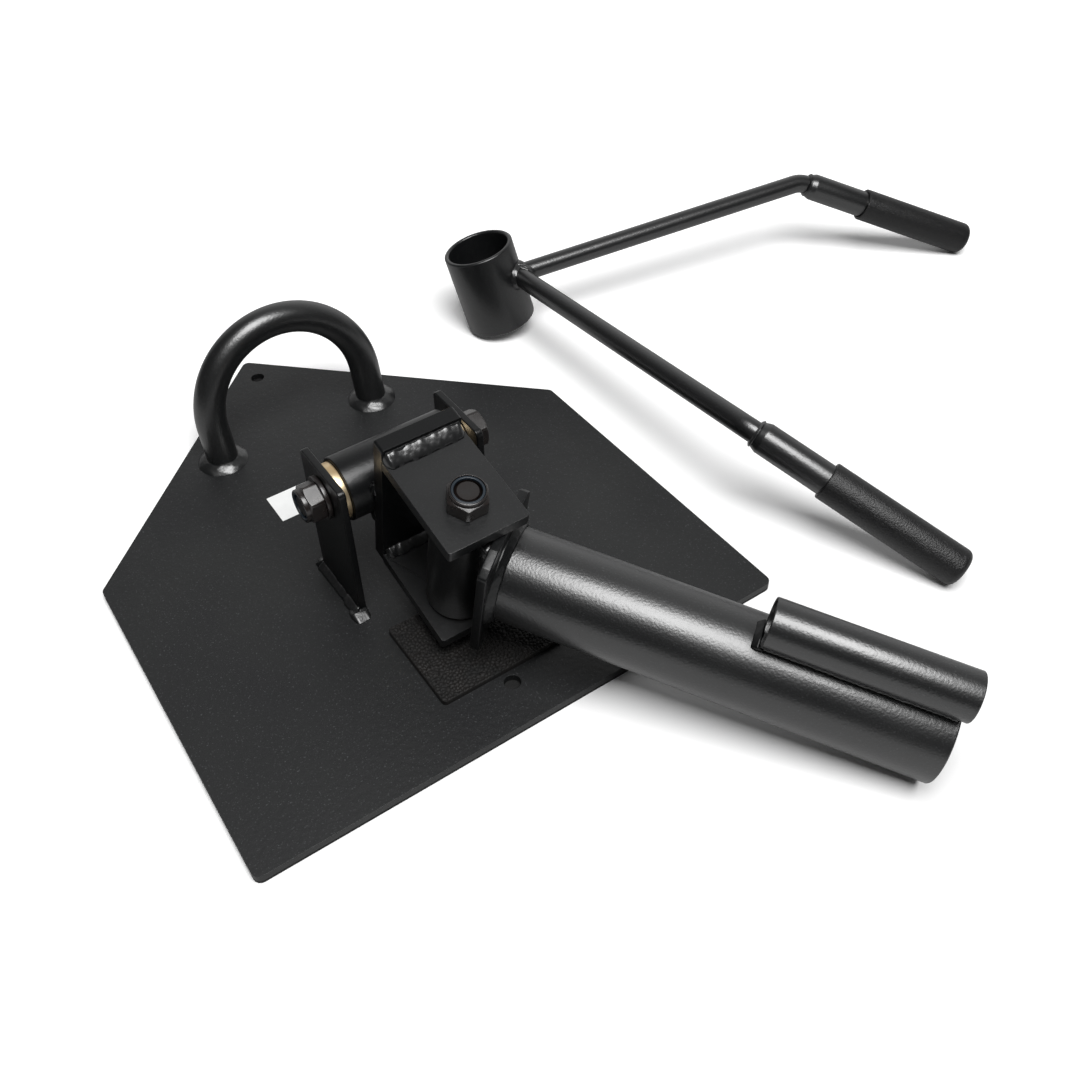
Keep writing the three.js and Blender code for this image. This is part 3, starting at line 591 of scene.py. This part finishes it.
label_paper = finish("bare_label", (226, 227, 226), (238, 239, 238), (0.6, 0.5), (0.15, 0.0001),
                     GRAIN, FINE, size=60)
print("materials so far:", len(bpy.data.materials))

# %% [markdown]
# ## Cut plate
#
# The floor plate, the ears, the web and the two yoke plates are cut from flat steel, and the
# floor plate lies on a rubber sheet of its own outline. The outlines and holes are already
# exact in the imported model, and what a photograph adds is the edge: a saw or a laser leaves it
# square, the brush rounds it a little, and coat flows over it, so that every edge carries a
# thin line of light. A copy of each CAD mesh is merged into whole faces, and a Bevel modifier
# gives it that edge.

# %% Plates with softened edges
def softened(node, body, material, slot, width, segments):
    """A merged copy of a CAD piece with each edge above 40 degrees rounded."""
    mesh = cad[node].data.copy()
    mend(mesh, flatten=True)
    piece = new_piece(node + "_softened", mesh, body, material, [node])
    edge = piece.modifiers.new("soft_edges", "BEVEL")
    edge.width, edge.segments = width / 1000, segments
    edge.limit_method, edge.angle_limit = "ANGLE", math.radians(40)
    flats = piece.modifiers.new("flat_faces", "WEIGHTED_NORMAL")
    flats.mode, flats.weight = "FACE_AREA", 100


# The ears and the web wear the shaded copy of the coat, which is painted shade.
plates = [  # node, body, finish, slot, width of the edge in millimetres, segments
    ("base_plate", "base", satin_coat, "coat", 0.7, 3),
    ("floor_pad", "base", sheet_rubber, "rubber", 0.4, 3),
    ("ear_left", "base", shaded_coat, "coat", 0.8, 3),
    ("ear_right", "base", shaded_coat, "coat", 0.8, 3),
    ("yoke_web", "yoke", shaded_coat, "coat", 0.8, 3),
    ("yoke_top_plate", "yoke", yoke_coat, "coat", 1.5, 4),
    ("yoke_bottom_plate", "yoke", yoke_coat, "coat", 1.5, 4),
]
for plate in plates:
    softened(*plate)
print("softened plates:", len(plates))

# %% Painted shade: dark discs of rubber sheet at the bottom of the bolt-down holes
HOLE_SHADE_DISC = [(0, 0.2), (6.5, 0.2), (6.5, 1.6), (0, 1.6)]  # 1 mm wider than the hole all round
# Painted shade: each disc stands in for the shaded floor at the bottom of its hole.
for name, y in (("hole_shade_disc_front", -132.5), ("hole_shade_disc_back", 255.3)):
    grid_piece(name, turned(HOLE_SHADE_DISC, 48), move(0, y, 0), "base", sheet_rubber, "rubber")
print("two discs of rubber sheet")

# %% [markdown]
# ## End plate of the sleeve
#
# The plate that joins the sleeve to its barrel has its upper corners ground off, and the
# grinder left them round: in the photograph they throw a glint. The plate is one outline that
# shrinks a little on its way to each face.

# %% End plate with ground corners
def drawn_in(corners, amount):
    """The corners of a polygon whose sides all move inwards by an amount.

    With m and n the outward normals of the two sides at a corner, the corner moves by
    -amount * (m + n) / (1 + m . n). The corners run anticlockwise.
    """
    corner = np.asarray(corners, float)
    side = unit(np.roll(corner, -1, 0) - corner)
    outward = np.stack([side[:, 1], -side[:, 0]], -1)
    before = np.roll(outward, 1, 0)
    return corner - amount * (before + outward) / (1 + (before * outward).sum(1, keepdims=True))


def level(outline, height):
    """An outline as a row of points at one height."""
    return np.column_stack([outline, np.full(len(outline), height)])


def plate_grid(corners, radius, low, high, soft):
    """Rows of the outline from the middle of the low face to the middle of the high face.

    Each edge is a quarter circle: at an angle a the outline is drawn in by
    soft * (1 - cos a) and lies soft * (1 - sin a) from the face.
    """
    angle = np.radians(np.linspace(90, 0, 5))
    draw, drop = soft * (1 - np.cos(angle)), soft * (1 - np.sin(angle))
    amounts = np.concatenate([draw, draw[::-1]])
    heights = np.concatenate([low + drop, high - drop[::-1]])
    rows = [level(rounded(drawn_in(corners, amount), radius - amount, 8), height)
            for amount, height in zip(amounts, heights)]
    return capped(np.stack(rows))


END_PLATE = [(36.0, -43.0), (36.3, 36.0), (31.0, 41.5), (18.0, 43.5), (-18.0, 44.6),
             (-30.0, 42.3), (-36.3, 38.5), (-36.0, -43.0)]
end_plate = plate_grid(END_PLATE, radius=3.0, low=21.5, high=27.5, soft=0.9)
# The end plate wears the shaded copy of the coat: painted shade.
redrawn("sleeve_end_plate", "ground", end_plate, SLEEVE @ BACKWARD, "sleeve", shaded_coat, "coat")
print("end plate outline has", end_plate.shape[1], "points")

# %% [markdown]
# ## Pebbled bumper pad
#
# The yoke comes down on a pad of pebbled rubber: rounded lumps about 2.5 mm wide with narrow
# valleys between them. A bump map would leave its outline flat, so the lumps are real.
# One random point sits in each cell of a grid, and the height at any place follows from the
# distances to the two nearest points, which makes every lump a rounded polygon.

# %% Bumper pad
def pebbles(x, y, size, seed):
    """Height from 0 to 1: the root of the gap between the two nearest points' distances."""
    dice = np.random.default_rng(seed)
    columns, rows = int(np.ptp(x) / size) + 4, int(np.ptp(y) / size) + 4
    jitter = dice.uniform(0, 1, (rows, columns, 2))
    gx, gy = (x - x.min()) / size + 1, (y - y.min()) / size + 1
    ix, iy = gx.astype(int), gy.astype(int)
    offsets = np.array([(a, b) for a in (-1, 0, 1) for b in (-1, 0, 1)])
    cx, cy = ix[None] + offsets[:, :1, None], iy[None] + offsets[:, 1:, None]
    near = jitter[np.clip(cy, 0, rows - 1), np.clip(cx, 0, columns - 1)]
    distance = np.sort(np.hypot(cx + near[..., 0] - gx, cy + near[..., 1] - gy), axis=0)
    return np.sqrt(np.clip((distance[1] - distance[0]) / 0.6, 0, 1))


def bumper_mesh(width, depth, thickness, corner, low):
    """A slab with a pebbled top, closed by a wall round its loop and one face below.

    The top is low + thickness, less 1.1 * (1 - lump), which fades towards the edge, and less
    0.8 * (1 - sqrt(1 - (1 - e) ** 2)) where e is the distance from the edge, 1 mm at most.
    """
    nx, ny = 190, 152
    x, y = np.meshgrid(np.linspace(-width / 2, width / 2, nx),
                       np.linspace(-depth / 2, depth / 2, ny))
    inside = np.minimum(width / 2 - np.abs(x), depth / 2 - np.abs(y))
    ax, ay = np.abs(x) - width / 2 + corner, np.abs(y) - depth / 2 + corner
    beyond = (ax > 0) & (ay > 0)
    cut = np.maximum(np.hypot(np.clip(ax, 0, None), np.clip(ay, 0, None)), 1e-9)
    pull = np.minimum(1, corner / cut)
    x = np.where(beyond, np.sign(x) * (width / 2 - corner + ax * pull), x)
    y = np.where(beyond, np.sign(y) * (depth / 2 - corner + ay * pull), y)
    lump = pebbles(x.ravel(), y.ravel(), size=2.5, seed=7).reshape(x.shape)
    rim = np.clip(inside, 0, 1)
    top = low + thickness - 1.1 * (1 - lump) * np.clip(inside / 1.5, 0.3, 1)
    top = top - 0.8 * (1 - np.sqrt(1 - (1 - rim) ** 2))
    index = np.arange(nx * ny).reshape(ny, nx)
    sheet = np.stack([index[:-1, :-1], index[:-1, 1:], index[1:, 1:], index[1:, :-1]], -1)
    loop = np.concatenate([index[0, :-1], index[:-1, -1], index[-1, :0:-1], index[:0:-1, 0]])
    points = np.stack([x, y, top], -1).reshape(-1, 3)
    below = nx * ny + np.arange(len(loop))
    wall = np.stack([loop, np.roll(loop, -1), np.roll(below, -1), below], -1)
    faces = sheet.reshape(-1, 4).tolist() + wall.tolist() + [below[::-1].tolist()]
    return np.concatenate([points, level(points[loop, :2], low)]), faces


points, faces = bumper_mesh(width=90, depth=72, thickness=4, corner=3, low=PLATE_TOP)
points[:, 1] += PLATE_FRONT + 39 + 36  # 39 mm of plate in front of it, and half its depth
new_piece("bumper_pad_pebbled", closed_mesh("bumper_pad_pebbled", points, faces, 60), "base",
          pebble_rubber, ["bumper_pad"])
print("bumper pad has", len(faces), "faces")

# %% [markdown]
# ## Turned pieces
#
# The pivot tube, the swivel barrel, both sleeves, the collar, the bushes and the washers are
# lathe work or cut tube: one outline turned about an axis. The saw cut is deburred, so each
# lip is a small arc.

# %% Tubes, bushes and washers
def bush(length, flange, thickness):
    """A flanged bush, its flange's outer face at height zero and its body below."""
    corners = [(12.3, -thickness - length), (15, -thickness - length), (15, -thickness),
               (flange / 2, -thickness), (flange / 2, 0), (12.3, 0)]
    return turned(rounded(corners, [0.3, 0.3, 0.2, 0.5, 0.5, 0.4]))


def lathed(node, grid, place, body, material, slot):
    """A ring whose section closes on itself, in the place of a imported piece."""
    redrawn(node, "turned", grid, place, body, material, slot, ring=True)


# The pivot tube and the barrel wear the shaded copy of the coat: painted shade.
lathed("pivot_tube", tube(30.6, 44, -40.9, 40.9, 0.8), YOKE @ turn("y", 90), "yoke", shaded_coat,
       "tube_coat")
lathed("swivel_barrel", tube(30.6, 42.4, -42.7, 42.7, 0.8), SLEEVE, "sleeve", shaded_coat, "tube_coat")
for side, sign in (("right", 1), ("left", -1)):
    facing = turn("y", sign * 90)
    lathed(f"pivot_bush_{side}", bush(25, 39, 5.5), YOKE @ move(sign * 46.7, 0, 0) @ facing,
           "yoke", bronze, "bronze")
    lathed(f"pivot_washer_{side}", tube(16.6, 30, 0, 3, 0.5),
           move(sign * 52.3, 0, PIVOT_UP) @ facing, "base", black_zinc, "black_zinc")
for side, spot in (("top", move(0, 0, 45)), ("bottom", move(0, 0, -45) @ turn("x", 180))):
    lathed(f"swivel_bush_{side}", bush(20, 36, 2), SLEEVE @ spot, "sleeve", bronze, "bronze")

# %% The two sleeves and the collar
FOOT, MOUTH = 27.8, 295  # the bar sleeve's ends, from the swivel bolt
bar_way = SLEEVE @ BACKWARD
small_way = SLEEVE @ move(0, 0, 45.3) @ BACKWARD
lathed("bar_sleeve", tube(52, 60, FOOT, MOUTH, 1.1, 160), bar_way, "sleeve", tube_coat, "tube_coat")
lathed("small_sleeve", tube(26, 30, 181, MOUTH, 0.7, 112), small_way, "sleeve", tube_coat,
       "tube_coat")
lathed("handle_collar", tube(52, 60, 0, 72, 1.7, 160), V_HANDLE, "v_handle", yoke_coat, "tube_coat")
print("bar sleeve runs", MOUTH - FOOT, "mm")

# %% [markdown]
# ## Bolts and lock nuts
#
# Both axles are 16 mm bolts with lock nuts: a hexagon with bevelled corners, a round collar on
# top and a nylon ring held in the collar. A hexagon with such corners is a turned profile that
# is cut off by six flats. At each angle the radius is the smaller of the profile's radius and
# the flats' distance, and a limit at the corners keeps them from being razor sharp.

# %% Hexagons from a profile
CORNER = 13.86  # from the axis to a corner of the 24 mm hexagon
PITCH = 2.0  # of the thread


def hexagonal(profile):
    """The turned profile with each radius limited by the hexagon's distance at that angle."""
    sides, flat = 192, 24 / 2
    grid = turned(profile, sides)
    angle = np.linspace(0, 360, sides, endpoint=False)
    to_flat = np.radians(angle % 60 - 30)
    limit = np.minimum(flat / np.cos(to_flat), flat / math.cos(math.radians(30)) - 0.35)
    radius = np.hypot(grid[..., 0], grid[..., 1])
    share = np.minimum(1, limit[None] / np.maximum(radius, 1e-9))
    grid[..., :2] *= share[..., None]
    return grid


def bevel_rows(height, towards):
    """Profile rows of the 30 degree corner bevel, from the flats to the end face."""
    inner = 11.4
    r = np.linspace(CORNER, inner, 10)
    return np.stack([r, height - towards * (r - inner) * math.tan(math.radians(30))], -1)


def cut_thread(grid, start, end):
    """Takes a helix off a shank: 0.9 times a triangle wave of height less turns."""
    angle = np.arctan2(grid[..., 1], grid[..., 0]) / (2 * math.pi)
    wave = np.abs((grid[..., 2] / PITCH - angle) % 1 - 0.5) * 2
    radius = np.hypot(grid[..., 0], grid[..., 1])
    shank = (grid[..., 2] > start) & (grid[..., 2] < end) & (radius > 6.4) & (radius < 8.01)
    share = np.where(shank, 1 - 0.9 * wave / np.maximum(radius, 1e-9), 1)
    grid[..., :2] *= share[..., None]
    return grid


def bolt_grid(shank):
    """Head below height zero, shank above it with a rolled thread on its last 26 mm."""
    heights = np.arange(shank - 26, shank - 1.5, PITCH / 12)
    profile = np.concatenate([
        [(0, -10)], bevel_rows(-10, -1)[::-1], [(CORNER, -0.4), (13.4, 0), (8, 0), (8, 0.5)],
        np.stack([np.full(len(heights), 8), heights], -1),
        [(8, shank - 1.5), (6.5, shank), (0, shank)],
    ])
    return cut_thread(hexagonal(profile), shank - 26, shank - 1.2)


def nut_grid():
    """Hexagon of 10 mm, collar to 13 mm rolled in over the ring's seat, bore right through."""
    collar = rounded([(11.3, 10), (11.3, 13), (10.3, 13), (10.3, 10.7)], [0, 0.9, 0.08, 0.1])
    return hexagonal(np.concatenate([
        [(8.3, 0.6), (8.9, 0), (13.2, 0), (CORNER, 0.5)], bevel_rows(10, 1), collar[5:],
        [(8.3, 10.7)],
    ]))


def nylon_grid():
    """The ring in the collar, its inner edge swaged by the bolt."""
    corners = [(8.35, 11), (10, 11), (10, 12.7), (8.35, 12.9)]
    return turned(rounded(corners, [0.2, 0.2, 0.4, 0.5]))


for name, body, way, shank in (
        ("pivot_bolt", "base", move(55.6, 0, PIVOT_UP) @ turn("y", -90), 123.2),
        ("swivel_bolt", "yoke", YOKE @ move(0, SWIVEL_OUT, -51.5), 119.2)):
    redrawn(name, "cut", bolt_grid(shank), way, body, black_zinc, "black_zinc")
for name, body, way in (("pivot_nut", "base", move(-55.6, 0, PIVOT_UP) @ turn("y", -90)),
                        ("swivel_nut", "yoke", YOKE @ move(0, SWIVEL_OUT, 55.7))):
    redrawn(name, "cut", nut_grid(), way, body, black_zinc, "black_zinc", ring=True, crease=35)
    redrawn(name + "_insert", "swaged", nylon_grid(), way, body, nylon, "nylon", ring=True)
print("two bolts and two lock nuts")

# %% [markdown]
# ## Bent bars
#
# The carrying handle is one 24 mm bar bent to a half circle, and each arm of the V handle is a
# 16 mm bar with one bend, coped to the collar and mitred against its neighbour. A bar is a
# circle carried along its path. For the cope, every line of an arm's surface is started where
# it first leaves both the collar's wall and the mitre plane, which a quadratic gives at once.

# %% Carrying handle
def handle_path():
    """Two straight legs and a half circle between them, from just under the plate's top."""
    leg = 28.7
    angle = np.linspace(math.pi, 0, 120)
    arch = np.stack([CARRY_HALF * np.cos(angle), 0 * angle, leg + CARRY_HALF * np.sin(angle)], -1)
    rise = np.linspace(-2.5, leg, 24)[:-1]
    left = np.stack([np.full(len(rise), -CARRY_HALF), 0 * rise, rise], -1)
    return np.concatenate([left, arch, left[::-1] * [-1, 1, 1]])


redrawn("carry_handle", "bent", capped(swept(handle_path(), 12, (0, 1, 0), 64)),
        move(0, CARRY_BACK, PLATE_TOP) @ turn("x", -10.8), "base", tube_coat, "tube_coat")

# %% Arms, grip tubes and grips of the V handle
MEETING = np.array([26.9, 0, 41.9])  # where the middle lines of both arms meet
ARM = 281  # from there to the elbow
BEND = 22  # radius of an elbow's middle line
COPE = 29.6  # radius where the arms end, just inside the collar's wall
GRIP_START, GRIP_END = 63.7, 170  # from the elbow


def heading(spread, droop):
    """A direction to one side of the middle line and below square to the collar."""
    a, d = math.radians(spread), math.radians(droop)
    return np.array([math.cos(d) * math.cos(a), math.cos(d) * math.sin(a), -math.sin(d)])


def arm_grid(arm, grip, elbow, reach):
    """A 16 mm bar along the arm's path, each line starting on the cope or on the mitre.

    A line p + t d leaves a cylinder of radius R about the collar where
    |p_xy + t d_xy| = R, and crosses the mitre plane where its y is zero.
    """
    path = along_path([MEETING + 30 * arm, elbow, elbow + (reach + 36) * grip], BEND, 1.5)
    across = np.cross(arm, grip)
    grid = swept(path, 8, across / np.linalg.norm(across), 64)
    p, d = grid[0] - 30 * arm, arm
    a = d[0] ** 2 + d[1] ** 2
    b = p[:, 0] * d[0] + p[:, 1] * d[1]
    c = p[:, 0] ** 2 + p[:, 1] ** 2 - COPE ** 2
    cope = (-b + np.sqrt(np.maximum(b * b - a * c, 0))) / a
    mitre = -p[:, 1] / d[1]
    begin = p + np.maximum(cope, mitre)[:, None] * d
    share = np.linspace(0, 1, 12)[:, None, None]
    start = begin[None] * (1 - share) + grid[:1] * share
    return capped(np.concatenate([start[:-1], grid])), begin


def standing(direction, point):
    """A frame at a point with its +Z along a direction."""
    z = direction / np.linalg.norm(direction)
    x = np.cross([0, 0, 1], z)
    x /= np.linalg.norm(x)
    made = np.eye(4)
    made[:3, 0], made[:3, 1], made[:3, 2], made[:3, 3] = x, np.cross(z, x), z, point
    return made


def grip_tube(length):
    """A tube with a tapered, rounded start."""
    corners = [(8.3, 0), (9.6, 0), (11.5, 5), (11.5, length), (8.3, length)]
    return turned(rounded(corners, [0.4, 1.2, 3, 0.5, 0.4], 8), 80)


def rubber_grip(length):
    """A closed rubber sleeve with a rounded end and a slightly rolled lip."""
    corners = [(0, length - 4), (11.8, length - 4), (11.8, 0), (14, 0), (14, length), (0, length)]
    return turned(rounded(corners, [0, 0.5, 0.3, 0.9, 5, 0], 10))


arm_ends = {}
for label, side in (("left", 1), ("right", -1)):
    arm, grip = heading(side * 39.7, 8.06), heading(side * 16.5, 35.7)
    elbow = MEETING + ARM * arm
    reach = BEND * math.tan(math.acos(arm @ grip) / 2)
    grid, begin = arm_grid(arm, grip, elbow, reach)
    arm_ends[label] = arm, begin, V_HANDLE @ standing(grip, elbow + (reach + 0.6) * grip)
    redrawn(f"handle_arm_{label}", "bent", grid, V_HANDLE, "v_handle", tube_coat, "tube_coat")
    way = V_HANDLE @ standing(grip, elbow + (reach + 1) * grip)
    lathed(f"handle_grip_tube_{label}", grip_tube(GRIP_END - 4.3 - (reach + 1)), way, "v_handle",
           tube_coat, "tube_coat")
    way = V_HANDLE @ standing(grip, elbow + GRIP_START * grip)
    redrawn(f"handle_grip_{label}", "moulded", rubber_grip(GRIP_END - GRIP_START), way, "v_handle",
            grip_rubber, "grip")
    print(label, "arm starts", round(float(np.linalg.norm(begin - MEETING, axis=1).min()), 1),
          "mm from the meeting point")

# %% [markdown]
# ## Welds
#
# Hand-laid beads hold the attachment together, and under black coat they are its brightest
# details, because each puddle throws its own glint. A bead could be a bump on a smooth fillet,
# but its outline is lumpy too, so each is modelled: a section carried along the seam that
# swells once per puddle, bows like a fish scale and wanders a little.

# %% Laying the beads
def lay(name, path, reference, place, body, ring=False, coat=weld_coat, **shape):
    """One bead along a path in a group's own frame; bead_grid takes the shape."""
    grid = bead_grid(path, reference, ring=ring, **shape)
    if not ring:
        grid = capped(grid)
    grid_piece(name, grid, place, body, coat, "coat", ring=ring, crease=80)


def circle(radius, height, count):
    """A ring of stations about +Z."""
    angle = full_circle(count)
    return np.stack([radius * np.cos(angle), radius * np.sin(angle), height + 0 * angle], -1)


def straight(start, end):
    """Stations about every 0.4 mm between two points."""
    start, end = np.array([start, end], float)
    count = int(np.linalg.norm(end - start) / 0.4) + 2
    return start + np.linspace(0, 1, count)[:, None] * (end - start)


UPWARD = (0, 0, 1)
for side, sign in (("right", 1), ("left", -1)):
    inner, outer, end, z = 48.2, 52.2, 27.7, 7.2  # close to the ear's faces, ends and foot
    foot = straight((sign * outer, -end, z), (sign * outer, end, z))
    lay(f"ear_{side}_foot_weld", foot, UPWARD, FLOOR, "base", wide=4.8, high=4.8, puddle=4.5,
        depth=0.012, seed=11 + sign)
    for label, y in (("front", -end), ("rear", end)):
        spill = 7 if (side, label) == ("left", "front") else 3
        tip = straight((sign * (inner - 2), y, z), (sign * (outer + spill), y, z))
        lay(f"ear_{side}_{label}_weld", tip, UPWARD, FLOOR, "base", wide=7.4, high=3.4,
            puddle=9.0, depth=0.02, seed=15 + sign + int(y > 0), slant=0.3, swell=0.25)
    foot_way = move(sign * CARRY_HALF, CARRY_BACK, PLATE_TOP)
    lay(f"carry_handle_{side}_foot_weld", circle(12.2, 0.2, 240), UPWARD, foot_way, "base",
        ring=True, wide=7.2, high=4.9, puddle=9.0, depth=0.02, seed=21 + sign, slant=0.6,
        swell=0.45)

# %% Beads of the yoke
def yoke_seam(name, half, y, z, **shape):
    """A straight bead across the yoke, the same length to both sides."""
    lay(name, straight((-half, y, z), (half, y, z)), UPWARD, YOKE, "yoke", **shape)


JOIN = -32.6  # y of the seams between the web and the two plates
yoke_seam("yoke_top_weld", 27.2, JOIN, 55.4, wide=8.6, high=6.6, puddle=9.0, depth=0.022,
          seed=31, slant=2.2, swell=0.5)
yoke_seam("yoke_inner_weld_top", 25.2, JOIN, 47.2, wide=5.0, high=5.0, puddle=4.2,
          depth=0.02, seed=32)
yoke_seam("yoke_inner_weld_bottom", 25.2, JOIN, -43, wide=6.4, high=4.8, puddle=4.2,
          depth=0.015, seed=33)
for label, z, seed in (("upper", 12.6, 36), ("lower", -12.6, 35)):
    yoke_seam(f"pivot_tube_{label}_weld", 28.6, -20.6, z, wide=5.6, high=6.4, puddle=3.8,
              depth=0.06, seed=seed)

# %% Beads of the sleeves
for label, x, seed in (("right", 12.4, 42), ("left", -12.4, 41)):
    lay(f"barrel_{label}_weld", straight((x, -20.0, -40.5), (x, -20.0, 40.5)), (0, 1, 0), SLEEVE,
        "sleeve", wide=6.0, high=5.4, puddle=3.4, depth=0.05, seed=seed)
# The sleeve's foot weld wears the shaded copy of the coat: painted shade.
lay("bar_sleeve_foot_weld", circle(30.0, 27.6, 560), UPWARD, bar_way, "sleeve", ring=True,
    coat=shaded_coat, wide=4.6, high=5.0, puddle=6.0, depth=0.014, seed=45)
for label, x, seed in (("right", 6.4, 48), ("left", -6.4, 47)):
    lay(f"small_sleeve_{label}_weld", straight((x, -183.2, 30.4), (x, -292.8, 30.4)), UPWARD,
        SLEEVE, "sleeve", wide=2.7, high=2.7, puddle=3.4, depth=0.04, seed=seed)
# The bead over the small sleeve's end also wears the shaded copy of the coat: painted shade.
lap = np.radians(np.linspace(-20, 20, 60))
over = np.stack([29.4 * np.sin(lap), np.full(len(lap), -180.4), 29.4 * np.cos(lap)], -1)
lay("small_sleeve_end_weld", over, (0, 1, 0), SLEEVE, "sleeve", coat=shaded_coat, wide=4.0,
    high=4.0, puddle=6.0, depth=0.012, seed=49)

# %% Beads of the V handle
for label, seed in (("left", 52), ("right", 51)):
    arm, begin, elbow_way = arm_ends[label]
    cope = np.concatenate([begin, begin[:1]]) + 0.6 * arm
    seam = at_distances(cope, np.linspace(0, travelled(cope)[-1], 160, endpoint=False))
    lay(f"handle_arm_{label}_weld", seam, arm, V_HANDLE, "v_handle", ring=True, wide=3.4,
        high=3.8, puddle=5.0, depth=0.03, seed=seed)
    lay(f"elbow_{label}_weld", circle(8.4, 0, 150), UPWARD, elbow_way, "v_handle", ring=True,
        wide=2.0, high=1.7, puddle=4.0, depth=0.03, seed=seed + 4)

# %% [markdown]
# ## What stays as it is
#
# The two spacer tubes that the bolts clamp are hidden inside the bushes. Their CAD meshes are
# right as they stand, so they only get their finish. A bare white plate, as thin as paper,
# lies on the coat behind the left ear.

# %% Spacer tubes and the bare white plate
for node in ("pivot_axle_sleeve", "swivel_axle_sleeve"):
    cad[node].data.materials.clear()
    cad[node].data.materials.append(plain_steel)
outline = rounded([(-57, 84), (-21, 84), (-21, 113), (-57, 113)], 0.6)
sheet = capped(np.stack([level(outline, PLATE_TOP), level(outline, PLATE_TOP + 0.15)]))
grid_piece("bare_white_plate", sheet, FLOOR, "base", label_paper)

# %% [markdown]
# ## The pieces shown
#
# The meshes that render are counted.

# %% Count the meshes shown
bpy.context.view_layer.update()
shown = [o for o in bpy.context.scene.objects if o.type == "MESH" and not o.hide_render]
print(len(shown), "meshes shown")
